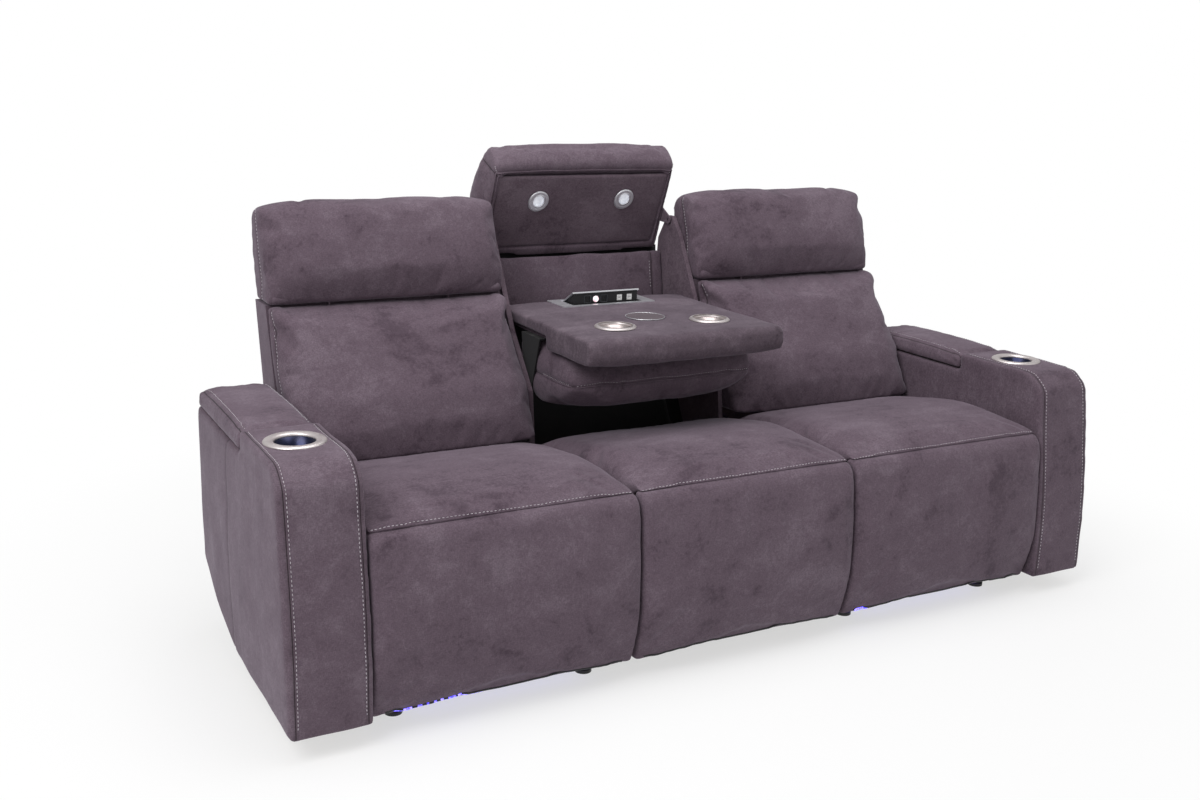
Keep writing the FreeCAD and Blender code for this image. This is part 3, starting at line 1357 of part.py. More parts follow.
# Check every object and every sub-part, then write the sub-parts
for thing in doc.Objects:
    if {"Invalid", "Error"} & set(thing.State):
        raise ValueError(f"{thing.Label} failed: {thing.State}")
os.makedirs("parts", exist_ok=True)
for node in NODES:
    shape = node.Shape
    if shape.isNull() or not shape.isValid() or not shape.Solids:
        raise ValueError(f"{node.Label} has no valid shape")
    shape.exportStep(f"parts/{node.Label}.step")
    box = shape.BoundBox
    print(f"{node.Label:26} {len(shape.Solids)} solids  x {box.XMin:8.1f} {box.XMax:8.1f}  "
          f"y {box.YMin:7.1f} {box.YMax:7.1f}  z {box.ZMin:7.1f} {box.ZMax:7.1f}")
print(len(NODES), "sub-parts")
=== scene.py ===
# %% [markdown]
# A power reclining sofa whose middle back has been folded down to make a table.
# The solid model gives every piece its size and place, so this script only dresses it:
# suede covers with seams and stitching, spun steel cups, and the small electric fittings.
# Everything is in metres, with +Z up and the front of the sofa facing -Y.

# %% Load the solid model
import math

import bmesh
import bpy
import numpy as np
from mathutils import Matrix, Vector, noise
from mathutils.bvhtree import BVHTree


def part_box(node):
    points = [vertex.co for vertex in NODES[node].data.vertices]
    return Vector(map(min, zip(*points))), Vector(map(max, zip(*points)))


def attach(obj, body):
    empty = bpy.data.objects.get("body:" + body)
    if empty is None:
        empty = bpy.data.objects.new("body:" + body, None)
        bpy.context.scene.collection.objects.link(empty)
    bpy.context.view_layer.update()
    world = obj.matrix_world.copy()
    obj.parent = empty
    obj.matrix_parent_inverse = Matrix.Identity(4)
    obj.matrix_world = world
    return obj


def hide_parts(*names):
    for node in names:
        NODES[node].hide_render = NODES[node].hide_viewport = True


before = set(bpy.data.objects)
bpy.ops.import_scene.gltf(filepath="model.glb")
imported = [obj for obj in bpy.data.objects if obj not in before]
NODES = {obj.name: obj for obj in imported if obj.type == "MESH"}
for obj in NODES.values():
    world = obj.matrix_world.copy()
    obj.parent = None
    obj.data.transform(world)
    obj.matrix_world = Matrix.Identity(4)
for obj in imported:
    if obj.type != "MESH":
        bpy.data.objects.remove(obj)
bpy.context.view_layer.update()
scene = bpy.context.scene

# %% [markdown]
# The camera stands to the left of the sofa at standing height and looks slightly down.
# Its place was worked out from the sofa's straight edges in the picture, so it repeats the
# perspective. The small vertical shift stands for the way the picture was cropped.

# %% Camera
def aim_camera():
    forward = Vector((0.4685, 0.8508, -0.2382)).normalized()
    level_right = Vector((0.876, -0.4824, 0.0)).normalized()
    level_up = level_right.cross(forward).normalized()
    roll = math.radians(1.5909)
    right = level_right * math.cos(roll) + level_up * math.sin(roll)
    up = level_up * math.cos(roll) - level_right * math.sin(roll)
    data = bpy.data.cameras.new("camera")
    data.lens = 38.559
    data.sensor_width = 36
    data.shift_y = -0.0135
    data.clip_end = 60
    camera = bpy.data.objects.new("camera", data)
    scene.collection.objects.link(camera)
    turn = Matrix((right, up, -forward)).transposed().to_4x4()
    camera.matrix_world = Matrix.Translation((-1.7161, -2.8592, 1.3825)) @ turn
    scene.camera = camera
    return camera

camera = aim_camera()
print("camera at", [round(v, 3) for v in camera.matrix_world.translation])

# %% [markdown]
# Small helpers for shader trees keep the materials readable. A Blender material is a graph:
# each helper adds one node, sets what is given, and joins its inputs to other nodes' outputs.

# %% Shader helpers
def put(tree, kind, sockets=None, **settings):
    """Add a node. A socket's value is a number, a colour, or another node's output to join."""
    made = tree.nodes.new(kind)
    for key, value in settings.items():
        setattr(made, key, value)
    for key, value in (sockets or {}).items():
        if isinstance(value, bpy.types.NodeSocket):
            tree.links.new(value, made.inputs[key])
        elif isinstance(value, tuple) and len(value) == 3 and made.inputs[key].type == "RGBA":
            made.inputs[key].default_value = (*value, 1.0)
        else:
            made.inputs[key].default_value = value
    return made


def maths(tree, operation, a, b=0.5, c=0.0, clamp=False):
    sockets = {0: a, 1: b, 2: c}
    return put(tree, "ShaderNodeMath", sockets, operation=operation, use_clamp=clamp).outputs[0]


def ramp(tree, value, low, high, to_low=0.0, to_high=1.0):
    """Map a value from one range to another with a soft start and end."""
    sockets = {"Value": value, "From Min": low, "From Max": high, "To Min": to_low, "To Max": to_high}
    return put(tree, "ShaderNodeMapRange", sockets, interpolation_type="SMOOTHSTEP").outputs[0]


def blend_colours(tree, factor, a, b, kind="MIX"):
    mixed = put(tree, "ShaderNodeMix", data_type="RGBA", blend_type=kind)
    for index, value in ((0, factor), (6, a), (7, b)):
        if isinstance(value, bpy.types.NodeSocket):
            tree.links.new(value, mixed.inputs[index])
        else:
            mixed.inputs[index].default_value = (*value, 1.0) if index else value
    return mixed.outputs[2]


def noise_at(tree, vector, scale, detail=3.0, rough=0.5, distortion=0.0):
    sockets = {"Vector": vector, "Scale": scale, "Detail": detail, "Roughness": rough,
               "Distortion": distortion}
    return put(tree, "ShaderNodeTexNoise", sockets).outputs["Fac"]


def stretched(tree, vector, scale):
    return put(tree, "ShaderNodeMapping", {"Vector": vector, "Scale": scale}).outputs[0]


def shared_group(name, inputs, outputs):
    """A node group with named inputs and outputs, for an effect that several materials use."""
    tree = bpy.data.node_groups.new(name, "ShaderNodeTree")
    for label, kind, value in inputs:
        socket = tree.interface.new_socket(label, in_out="INPUT", socket_type="NodeSocket" + kind)
        if value is not None:
            socket.default_value = value
    for label, kind in outputs:
        tree.interface.new_socket(label, in_out="OUTPUT", socket_type="NodeSocket" + kind)
    return tree, tree.nodes.new("NodeGroupInput"), tree.nodes.new("NodeGroupOutput")


def use_group(tree, group, sockets):
    made = tree.nodes.new("ShaderNodeGroup")
    made.node_tree = group
    for key, value in sockets.items():
        if isinstance(value, bpy.types.NodeSocket):
            tree.links.new(value, made.inputs[key])
        elif isinstance(value, tuple):
            made.inputs[key].default_value = (*value, 1.0)
        else:
            made.inputs[key].default_value = value
    return made

# %% [markdown]
# Suede-like microfibre has a nap: short fibres that lie one way or another, so a palm
# leaves lighter and darker clouds on it. Real cloth also shows a fine pebbled grain.
# One group makes the clouds, the brushed streaks, the grain, and the painted shade in the groove
# of a seam: a thin dark line with a softer painted shadow beside it. Every suede material gives
# it its own colours. The pattern is in object space, so it doesn't depend on an unwrapped surface.

# %% Suede nap group
def build_nap_group():
    inputs = [
        ("Light", "Color", (0.2, 0.15, 0.16, 1)), ("Middle", "Color", (0.14, 0.1, 0.11, 1)),
        ("Dark", "Color", (0.08, 0.055, 0.06, 1)), ("Vector", "Vector", None),
        ("Seam Distance", "Float", 1.0),
    ]
    outputs = [("Color", "Color"), ("Height", "Float"), ("Roughness", "Float")]
    tree, source, result = shared_group("suede nap", inputs, outputs)
    place = source.outputs["Vector"]
    clouds = noise_at(tree, place, 4.2, 4.0, 0.55, 0.6)
    patches = noise_at(tree, place, 13.0, 5.0, 0.6, 0.9)
    brushed = noise_at(tree, stretched(tree, place, (7.0, 26.0, 9.0)), 1.0, 4.0, 0.6, 1.4)
    mottled = noise_at(tree, place, 95.0, 3.0, 0.6, 0.5)
    nap = maths(tree, "MULTIPLY_ADD", clouds, 0.38, maths(tree, "MULTIPLY", patches, 0.24))
    nap = maths(tree, "MULTIPLY_ADD", brushed, 0.2, nap)
    nap = maths(tree, "MULTIPLY_ADD", mottled, 0.18, nap)
    lighter = ramp(tree, nap, 0.485, 0.61, 0.0, 0.75)
    darker = ramp(tree, nap, 0.485, 0.385, 0.0, 0.9)
    colour = blend_colours(tree, lighter, source.outputs["Middle"], source.outputs["Light"])
    colour = blend_colours(tree, darker, colour, source.outputs["Dark"])
    pebble = put(tree, "ShaderNodeTexVoronoi", {"Vector": place, "Scale": 520.0}).outputs["Distance"]
    fibre = noise_at(tree, stretched(tree, place, (900.0, 240.0, 170.0)), 1.0, 2.0)
    thread = noise_at(tree, stretched(tree, place, (170.0, 240.0, 900.0)), 1.0, 2.0)
    grain = maths(tree, "ADD", maths(tree, "MULTIPLY", fibre, 0.5), maths(tree, "MULTIPLY", thread, 0.5))
    speckle = ramp(tree, grain, 0.3, 0.7, 0.76, 1.24)
    shade = put(tree, "ShaderNodeCombineColor", {0: speckle, 1: speckle, 2: speckle}).outputs[0]
    colour = blend_colours(tree, 1.0, colour, shade, "MULTIPLY")
    # Painted shade along a seam: a thin dark line in its groove and a softer shadow beside it, mixed into
    # the colour.
    distance = maths(tree, "ABSOLUTE", source.outputs["Seam Distance"])
    line = ramp(tree, distance, 0.0004, 0.0019, 0.9, 0.0)
    shadow = ramp(tree, distance, 0.001, 0.008, 0.22, 0.0)
    painted_seam_shade = maths(tree, "MAXIMUM", line, shadow)
    colour = blend_colours(tree, painted_seam_shade, colour, (0.018, 0.012, 0.014))
    height = maths(tree, "MULTIPLY_ADD", pebble, -0.35, maths(tree, "MULTIPLY", grain, 0.65))
    height = maths(tree, "MULTIPLY_ADD", line, -3.0, height)
    tree.links.new(colour, result.inputs["Color"])
    tree.links.new(height, result.inputs["Height"])
    tree.links.new(ramp(tree, nap, 0.36, 0.66, 0.92, 0.8), result.inputs["Roughness"])
    return tree

NAP = build_nap_group()

# %% [markdown]
# Bare metal, paint and plastic are never one even tone. A second group finds edges by
# comparing the true normal with a rounded one, which shows where hands and feet wear a
# finish through, and a third lays fine dust on faces that look upwards.

# %% Wear and dust groups
def build_wear_group():
    inputs = [("Width", "Float", 0.002), ("Amount", "Float", 0.6), ("Vector", "Vector", None)]
    tree, source, result = shared_group("edge wear", inputs, [("Mask", "Float")])
    rounded = put(tree, "ShaderNodeBevel", {"Radius": source.outputs["Width"]}, samples=4).outputs[0]
    true = put(tree, "ShaderNodeNewGeometry").outputs["Normal"]
    match = put(tree, "ShaderNodeVectorMath", {0: rounded, 1: true}, operation="DOT_PRODUCT")
    edge = ramp(tree, match.outputs["Value"], 0.995, 0.88)
    broken = ramp(tree, noise_at(tree, source.outputs["Vector"], 60.0, 5.0, 0.7), 0.42, 0.6)
    worn = maths(tree, "MULTIPLY", edge, broken)
    mask = maths(tree, "MULTIPLY", worn, source.outputs["Amount"], clamp=True)
    tree.links.new(mask, result.inputs["Mask"])
    return tree


def build_dust_group():
    inputs = [("Amount", "Float", 0.3), ("Vector", "Vector", None)]
    tree, source, result = shared_group("settled dust", inputs, [("Mask", "Float")])
    normal = put(tree, "ShaderNodeNewGeometry").outputs["Normal"]
    upward = put(tree, "ShaderNodeSeparateXYZ", {0: normal}).outputs["Z"]
    patchy = ramp(tree, noise_at(tree, source.outputs["Vector"], 24.0, 6.0, 0.7), 0.35, 0.7)
    mask = maths(tree, "MULTIPLY", maths(tree, "MULTIPLY", ramp(tree, upward, 0.4, 1.0), patchy),
                 source.outputs["Amount"], clamp=True)
    tree.links.new(mask, result.inputs["Mask"])
    return tree

WEAR = build_wear_group()
DUST = build_dust_group()

# %% [markdown]
# A material starts from the Principled shader. Values that are the same all over, such as
# the sheen of the nap, are typed on the shader itself; values that change come from groups.

# %% Suede, thread and hard materials
def start_material(name, **constants):
    """A material with a Principled shader, and its object coordinates."""
    material = bpy.data.materials.new(name)
    material.use_nodes = True
    tree = material.node_tree
    shader = tree.nodes["Principled BSDF"]
    for key, value in constants.items():
        socket = shader.inputs[key.replace("_", " ")]
        socket.default_value = (*value, 1.0) if isinstance(value, tuple) else value
    place = put(tree, "ShaderNodeTexCoord").outputs["Object"]
    return material, tree, shader, place


def join(tree, output, socket):
    tree.links.new(output, socket)


def bump(tree, shader, height, strength, distance):
    made = put(tree, "ShaderNodeBump", {"Height": height, "Strength": strength, "Distance": distance})
    tree.links.new(made.outputs[0], shader.inputs["Normal"])


def suede(name, light, middle, dark, seamed=True):
    material, tree, shader, place = start_material(
        name, Sheen_Weight=0.2, Sheen_Roughness=0.45, Sheen_Tint=(0.84, 0.78, 0.9), Specular_IOR_Level=0.16
    )
    sockets = {"Light": light, "Middle": middle, "Dark": dark, "Vector": place}
    if seamed:
        sockets["Seam Distance"] = put(tree, "ShaderNodeAttribute", attribute_name="seam").outputs["Fac"]
    nap = use_group(tree, NAP, sockets)
    join(tree, nap.outputs["Color"], shader.inputs["Base Color"])
    join(tree, nap.outputs["Roughness"], shader.inputs["Roughness"])
    bump(tree, shader, nap.outputs["Height"], 0.35, 0.0006)
    return material


TAUPE = (0.16, 0.122, 0.151), (0.114, 0.082, 0.105), (0.07, 0.048, 0.064)
# Suede tones painted a little lighter, to lift the middle pieces that sit in shade.
LIFTED_IN_SHADE = (0.17, 0.129, 0.157), (0.122, 0.088, 0.11), (0.074, 0.05, 0.067)
# Darker tones of the suede, for the table's top.
TABLE_TONES = (0.15, 0.116, 0.14), (0.09, 0.066, 0.083), (0.046, 0.032, 0.042)
SUEDE = suede("taupe suede", *TAUPE)
SUEDE_PLAIN = suede("taupe suede piping", *TAUPE, seamed=False)
SUEDE_LIFTED_IN_SHADE = suede("suede lightened for shade", *LIFTED_IN_SHADE, seamed=False)
SUEDE_TABLE_DARKER = suede("darker suede of the table top", *TABLE_TONES)


def black_cloth_and_shade():
    """Thin woven black lining, a little dusty. On the console arms it stands for painted shade."""
    material, tree, shader, place = start_material(
        "black lining cloth and painted shade", Sheen_Weight=0.1, Specular_IOR_Level=0.2
    )
    weave = noise_at(tree, stretched(tree, place, (1400.0, 260.0, 260.0)), 1.0, 2.0)
    mask = use_group(tree, DUST, {"Amount": 0.35, "Vector": place}).outputs[0]
    tone = blend_colours(tree, weave, (0.006, 0.006, 0.007), (0.02, 0.019, 0.021))
    join(tree, blend_colours(tree, mask, tone, (0.2, 0.19, 0.18)), shader.inputs["Base Color"])
    join(tree, ramp(tree, weave, 0.3, 0.7, 0.8, 0.95), shader.inputs["Roughness"])
    bump(tree, shader, weave, 0.5, 0.0004)
    return material


def sewing_thread():
    """Twisted polyester thread: a slanted stripe along each stitch, its darker band painted shade between
    the plies.
    """
    material, tree, shader, place = start_material(
        "sewing thread", Sheen_Weight=0.3, Specular_IOR_Level=0.4
    )
    twist = put(tree, "ShaderNodeTexWave", {"Vector": place, "Scale": 420.0, "Distortion": 1.5},
                bands_direction="DIAGONAL").outputs["Fac"]
    soiled = noise_at(tree, place, 30.0, 3.0)
    # The darker band of each twist is painted shade where the plies turn away; the same stripe also makes
    # the bump.
    tone = blend_colours(tree, twist, (0.42, 0.38, 0.42), (0.62, 0.58, 0.62))
    tone = blend_colours(tree, ramp(tree, soiled, 0.45, 0.7), tone, (0.34, 0.3, 0.33))
    join(tree, tone, shader.inputs["Base Color"])
    join(tree, ramp(tree, twist, 0.0, 1.0, 0.75, 0.55), shader.inputs["Roughness"])
    bump(tree, shader, twist, 0.5, 0.0003)
    return material


def hard_finish(name, colour, worn, rough, metal=0.0, worn_metal=None, width=0.0015, wear=0.6,
                dust=0.25, grain=400.0, grain_depth=0.00006, brushed=None, **constants):
    """Metal, paint or moulded plastic with fine grain, smudges, worn edges and a little dust."""
    material, tree, shader, place = start_material(name, Metallic=metal, **constants)
    wear_mask = use_group(tree, WEAR, {"Width": width, "Amount": wear, "Vector": place}).outputs[0]
    dust_mask = use_group(tree, DUST, {"Amount": dust, "Vector": place}).outputs[0]
    smudge = noise_at(tree, place, 18.0, 5.0, 0.65, 0.6)
    smudged = tuple(c * 0.72 for c in colour)
    tone = blend_colours(tree, ramp(tree, smudge, 0.35, 0.7, 0.0, 0.35), colour, smudged)
    tone = blend_colours(tree, wear_mask, tone, worn)
    tone = blend_colours(tree, dust_mask, tone, (0.42, 0.39, 0.36))
    join(tree, tone, shader.inputs["Base Color"])
    grained = place if brushed is None else stretched(tree, place, brushed)
    fine = noise_at(tree, grained, grain if brushed is None else 1.0, 3.0, 0.6)
    roughness = maths(tree, "ADD", ramp(tree, smudge, 0.3, 0.7, rough * 0.85, rough * 1.2),
                      maths(tree, "MULTIPLY", dust_mask, 0.4), clamp=True)
    join(tree, roughness, shader.inputs["Roughness"])
    if worn_metal is not None:
        join(tree, ramp(tree, wear_mask, 0.0, 1.0, metal, worn_metal), shader.inputs["Metallic"])
    bump(tree, shader, fine, 0.4, grain_depth)
    return material


def plywood():
    """Birch ply: long wavy grain, pores and a slightly furry cut face."""
    material, tree, shader, place = start_material("birch plywood", Specular_IOR_Level=0.3)
    along = stretched(tree, place, (3.0, 26.0, 60.0))
    wave = noise_at(tree, along, 1.0, 5.0, 0.6, 0.8)
    pores = noise_at(tree, stretched(tree, place, (30.0, 500.0, 700.0)), 1.0, 2.0)
    plies = put(tree, "ShaderNodeTexWave", {"Vector": place, "Scale": 60.0, "Distortion": 0.6},
                bands_direction="Z").outputs["Fac"]
    tone = blend_colours(tree, ramp(tree, wave, 0.35, 0.65), (0.5, 0.33, 0.18), (0.66, 0.48, 0.29))
    tone = blend_colours(tree, ramp(tree, pores, 0.58, 0.7, 0.0, 0.6), tone, (0.28, 0.16, 0.08))
    tone = blend_colours(tree, ramp(tree, plies, 0.7, 1.0, 0.0, 0.25), tone, (0.36, 0.22, 0.12))
    dust_mask = use_group(tree, DUST, {"Amount": 0.4, "Vector": place}).outputs[0]
    join(tree, blend_colours(tree, dust_mask, tone, (0.5, 0.45, 0.4)), shader.inputs["Base Color"])
    join(tree, ramp(tree, wave, 0.3, 0.7, 0.6, 0.8), shader.inputs["Roughness"])
    bump(tree, shader, pores, 0.4, 0.0003)
    return material


def lit(name, colour, strength, core):
    """A part that shines by itself, in a slightly mottled tone."""
    material, tree, shader, place = start_material(name, Roughness=0.35, Emission_Strength=strength)
    mottled = noise_at(tree, place, 160.0, 3.0)
    tone = blend_colours(tree, ramp(tree, mottled, 0.35, 0.65), colour, core)
    join(tree, tone, shader.inputs["Base Color"])
    join(tree, tone, shader.inputs["Emission Color"])
    return material


THREAD = sewing_thread()
BLACK_CLOTH_AND_SHADE = black_cloth_and_shade()
WOOD = plywood()
BLACK_STEEL = hard_finish("black powder coat", (0.018, 0.018, 0.02), (0.32, 0.31, 0.3), 0.42, 0.0, 0.9,
                          grain=900.0, grain_depth=0.00012)
BRIGHT_STEEL = hard_finish("zinc plated steel", (0.5, 0.5, 0.52), (0.7, 0.7, 0.7), 0.3, 1.0, grain=700.0)
CUP_RING = hard_finish("satin steel ring", (0.76, 0.7, 0.695), (0.9, 0.88, 0.87), 0.42, 0.8, width=0.001,
                       wear=0.5, dust=0.03, brushed=(60.0, 60.0, 900.0), grain_depth=0.00003)
CUP_INSIDE = hard_finish("anodised cup wall", (0.014, 0.017, 0.05), (0.2, 0.22, 0.32), 0.25, 0.8,
                         dust=0.1, brushed=(40.0, 40.0, 1100.0))
SILVER = hard_finish("silver trim", (0.72, 0.72, 0.76), (0.92, 0.92, 0.92), 0.38, 0.8, width=0.0008,
                     wear=0.8, dust=0.08, brushed=(900.0, 60.0, 60.0), grain_depth=0.00004)
BLACK_PLASTIC = hard_finish("black moulded plastic", (0.014, 0.014, 0.016), (0.09, 0.09, 0.095), 0.45,
                            width=0.001, grain=1200.0, grain_depth=0.00008, dust=0.15)
WHITE_PLASTIC = hard_finish("white moulded plastic", (0.86, 0.86, 0.86), (0.94, 0.94, 0.94), 0.4, dust=0.05)
BUTTON_LIGHT = lit("lit button", (0.9, 0.55, 0.62), 0.85, (1.0, 0.93, 0.95))
DIFFUSER = lit("frosted diffuser", (0.6, 0.62, 0.68), 0.5, (0.85, 0.87, 0.92))
BLUE_LIGHT = lit("blue light strip", (0.05, 0.04, 0.9), 2.6, (0.25, 0.2, 1.0))
CUP_BRIGHT = hard_finish("bright cup wall", (0.56, 0.49, 0.48), (0.8, 0.76, 0.75), 0.3, 0.9, dust=0.05,
                         brushed=(420.0, 420.0, 4.0), grain_depth=0.0002)
CHARGER_TOP = hard_finish("soft charging surface", (0.1, 0.078, 0.092), (0.2, 0.17, 0.19), 0.7, dust=0.05,
                          grain=900.0)
SOCKET_EDGE = hard_finish("grey socket surround", (0.055, 0.058, 0.07), (0.16, 0.16, 0.17), 0.5, dust=0.05)
print("materials:", len(bpy.data.materials))

# %% [markdown]
# The studio is a white floor under a soft sky. The floor near the sofa keeps the shadow,
# and further out it turns into plain white for the camera, so no horizon line shows.
# One large lamp from the front left models the forms, and two weaker ones lift the rest.

# %% Studio floor, sky and lamps
def studio_floor():
    bm = bmesh.new()
    bmesh.ops.create_grid(bm, x_segments=1, y_segments=1, size=14.0)
    mesh = bpy.data.meshes.new("studio_floor")
    bm.to_mesh(mesh)
    bm.free()
    mesh.transform(Matrix.Translation((0, 0, -0.0005)))
    floor = bpy.data.objects.new("studio_floor", mesh)
    scene.collection.objects.link(floor)
    material = bpy.data.materials.new("white studio floor")
    material.use_nodes = True
    tree = material.node_tree
    tree.nodes.clear()
    place = put(tree, "ShaderNodeTexCoord").outputs["Object"]
    away = put(tree, "ShaderNodeVectorMath", {0: place}, operation="LENGTH").outputs["Value"]
    far = ramp(tree, away, 1.0, 2.1, 0.62, 1.0)
    path = put(tree, "ShaderNodeLightPath")
    seen = maths(tree, "MAXIMUM", path.outputs["Is Camera Ray"], path.outputs["Is Glossy Ray"])
    seen = maths(tree, "MAXIMUM", seen, path.outputs["Is Transmission Ray"])
    matt = put(tree, "ShaderNodeBsdfDiffuse", {"Color": (0.86, 0.86, 0.86)})
    white = put(tree, "ShaderNodeEmission", {"Color": (1.0, 1.0, 1.0), "Strength": 1.0})
    share = maths(tree, "MULTIPLY", far, seen)
    both = put(tree, "ShaderNodeMixShader", {0: share, 1: matt.outputs[0], 2: white.outputs[0]})
    put(tree, "ShaderNodeOutputMaterial", {"Surface": both.outputs[0]})
    mesh.materials.append(material)


def studio_sky(level):
    world = bpy.data.worlds.new("studio sky")
    scene.world = world
    world.use_nodes = True
    tree = world.node_tree
    path = put(tree, "ShaderNodeLightPath")
    seen = maths(tree, "MAXIMUM", path.outputs["Is Camera Ray"], path.outputs["Is Transmission Ray"])
    sky = tree.nodes["Background"]
    sky.inputs["Color"].default_value = (1.0, 1.0, 1.0, 1.0)
    join(tree, ramp(tree, seen, 0.0, 1.0, level, 1.0), sky.inputs["Strength"])


def soft_lamp(name, place, target, width, power):
    data = bpy.data.lights.new(name, "AREA")
    data.shape = "SQUARE"
    data.size = width
    data.energy = power
    lamp = bpy.data.objects.new(name, data)
    scene.collection.objects.link(lamp)
    lamp.location = place
    lamp.rotation_mode = "QUATERNION"
    lamp.rotation_quaternion = (Vector(target) - Vector(place)).to_track_quat("-Z", "Y")


scene.view_settings.view_transform = "Standard"
studio_floor()
studio_sky(0.38)
soft_lamp("key_lamp", (-3.7, -1.8, 4.5), (0, -0.1, 0.5), 3.0, 170)
soft_lamp("fill_lamp", (3.4, -2.8, 2.6), (0, 0, 0.5), 2.6, 12)
soft_lamp("top_lamp", (0.2, -0.2, 4.6), (0, 0, 0.6), 3.0, 100)

# %% [markdown]
# Padded covers begin as copies of the model's solids. A copy is merged, because the packed
# mesh is loose triangles, and then rebuilt with small even faces by a voxel remesh, which
# also rounds every hard edge as foam does. Smoothing passes relax it further.

# %% Helpers for padded covers
def merged_copy(*nodes):
    """One bmesh of the named nodes, with the doubled vertices of their triangles joined."""
    bm = bmesh.new()
    for node in nodes:
        bm.from_mesh(NODES[node].data)
    bmesh.ops.remove_doubles(bm, verts=bm.verts, dist=0.00002)
    return bm


def show(name, mesh, material):
    """Put a finished mesh in the scene at the origin, with one material and smooth faces."""
    mesh.materials.clear()
    mesh.materials.append(material)
    mesh.polygons.foreach_set("use_smooth", [True] * len(mesh.polygons))
    piece = bpy.data.objects.new(name, mesh)
    scene.collection.objects.link(piece)
    return piece


def add_piece(name, mesh, material, body):
    """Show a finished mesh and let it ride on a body."""
    piece = show(name, mesh, material)
    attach(piece, body)
    return piece


def to_mesh(name, bm):
    mesh = bpy.data.meshes.new(name)
    bm.to_mesh(mesh)
    bm.free()
    return mesh


def relax(bm, verts, passes):
    for _ in range(passes):
        bmesh.ops.smooth_vert(bm, verts=verts, factor=0.5, use_axis_x=True, use_axis_y=True, use_axis_z=True)


def remeshed(name, bm, voxel, smooth):
    """Even faces of one voxel's size over the whole form, relaxed by a number of passes."""
    piece = show(name, to_mesh(name, bm), SUEDE)
    change = piece.modifiers.new("even faces", "REMESH")
    change.mode = "VOXEL"
    change.voxel_size = voxel
    graph = bpy.context.evaluated_depsgraph_get()
    mesh = bpy.data.meshes.new_from_object(piece.evaluated_get(graph))
    bpy.data.objects.remove(piece)
    bm = bmesh.new()
    bm.from_mesh(mesh)
    relax(bm, bm.verts, smooth)
    bm.to_mesh(mesh)
    bm.free()
    mesh.name = name
    return mesh


def points_of(mesh):
    co = np.zeros(len(mesh.vertices) * 3)
    mesh.vertices.foreach_get("co", co)
    return co.reshape(-1, 3)


def set_points(mesh, co):
    mesh.vertices.foreach_set("co", co.ravel())
    mesh.update()


def normals_of(mesh):
    normals = np.zeros(len(mesh.vertices) * 3)
    mesh.vertices.foreach_get("normal", normals)
    return normals.reshape(-1, 3)


def step_up(values, low, high):
    share = np.clip((values - low) / (high - low), 0.0, 1.0)
    return share * share * (3 - 2 * share)

# %% [markdown]
# The fullness of a cushion comes from a cloth simulation: the cover is blown up from inside
# while its sewn and stapled edges are held. All covers are simulated together in one run of
# twenty frames, and a cap keeps any point from moving further than foam would push it.

# %% Inflate the covers
COVER_CLOTH = {
    "quality": 3, "mass": 0.3, "tension_stiffness": 12, "compression_stiffness": 12,
    "shear_stiffness": 4, "bending_stiffness": 0.6, "vertex_group_mass": "held", "use_pressure": True,
}


def held_weights(mesh, hold):
    return np.clip(hold(points_of(mesh)), 0.0, 1.0)


def inflate(jobs, frames=20):
    """Blow up every cover in jobs: (mesh, hold, cap, pressure, slack)."""
    running = []
    for mesh, hold, cap, pressure, slack in jobs:
        piece = bpy.data.objects.new("blown " + mesh.name, mesh)
        scene.collection.objects.link(piece)
        group = piece.vertex_groups.new(name="held")
        for index, weight in enumerate(held_weights(mesh, hold)):
            if weight > 0.01:
                group.add([index], float(weight), "REPLACE")
        change = piece.modifiers.new("cover", "CLOTH")
        for key, value in COVER_CLOTH.items():
            setattr(change.settings, key, value)
        change.settings.uniform_pressure_force = pressure
        change.settings.shrink_min = -slack
        change.settings.effector_weights.gravity = 0.0
        change.collision_settings.use_collision = False
        running.append((piece, mesh, points_of(mesh), cap))
    for number in range(1, frames + 1):
        scene.frame_set(number)
    graph = bpy.context.evaluated_depsgraph_get()
    for piece, mesh, rest, cap in running:
        blown = points_of(piece.evaluated_get(graph).data)
        move = blown - rest
        length = np.linalg.norm(move, axis=1, keepdims=True)
        move *= np.minimum(1.0, cap / np.maximum(length, 1e-9))
        bpy.data.objects.remove(piece)
        set_points(mesh, rest + move)
        print(f"{mesh.name}: {len(rest)} points, moved up to {min(length.max(), cap) * 1000:.1f} mm")
    scene.frame_set(1)

# %% [markdown]
# A seam pulls the cover in along a line. Each seam is written as a rule that gives every
# point its distance from the line. The distance is kept on the mesh, so the material can
# paint the shade of the seam's groove as a thin dark line between vertices, and the points
# near it sink along their normals.

# %% Seams and small waves
def sew_seams(mesh, *rules, depth=0.003, width=0.008):
    """Each rule gives points their signed distance from its seam, and 1 where there is none."""
    co = points_of(mesh)
    normals = normals_of(mesh)
    nearest = np.full(len(co), 1.0)
    for rule in rules:
        distance = rule(co, normals)
        closer = np.abs(distance) < np.abs(nearest)
        nearest[closer] = distance[closer]
    attribute = mesh.attributes.get("seam") or mesh.attributes.new("seam", "FLOAT", "POINT")
    attribute.data.foreach_set("value", nearest.astype(np.float32))
    if rules:
        co -= normals * (depth * np.exp(-(nearest / width) ** 2))[:, None]
        set_points(mesh, co)
    return mesh


def soft_waves(mesh, height, size, seed, where=None):
    """Low uneven waves, as cloth has over foam. where gives each point a share of the height."""
    co = points_of(mesh)
    normals = normals_of(mesh)
    shift = Vector((seed * 3.1, seed * 1.7, seed * 2.3))
    waves = np.array([noise.noise(Vector(p) / size + shift) for p in co])
    share = np.ones(len(co)) if where is None else np.clip(where(co), 0.0, 1.0)
    set_points(mesh, co + normals * (height * waves * share)[:, None])
    return mesh


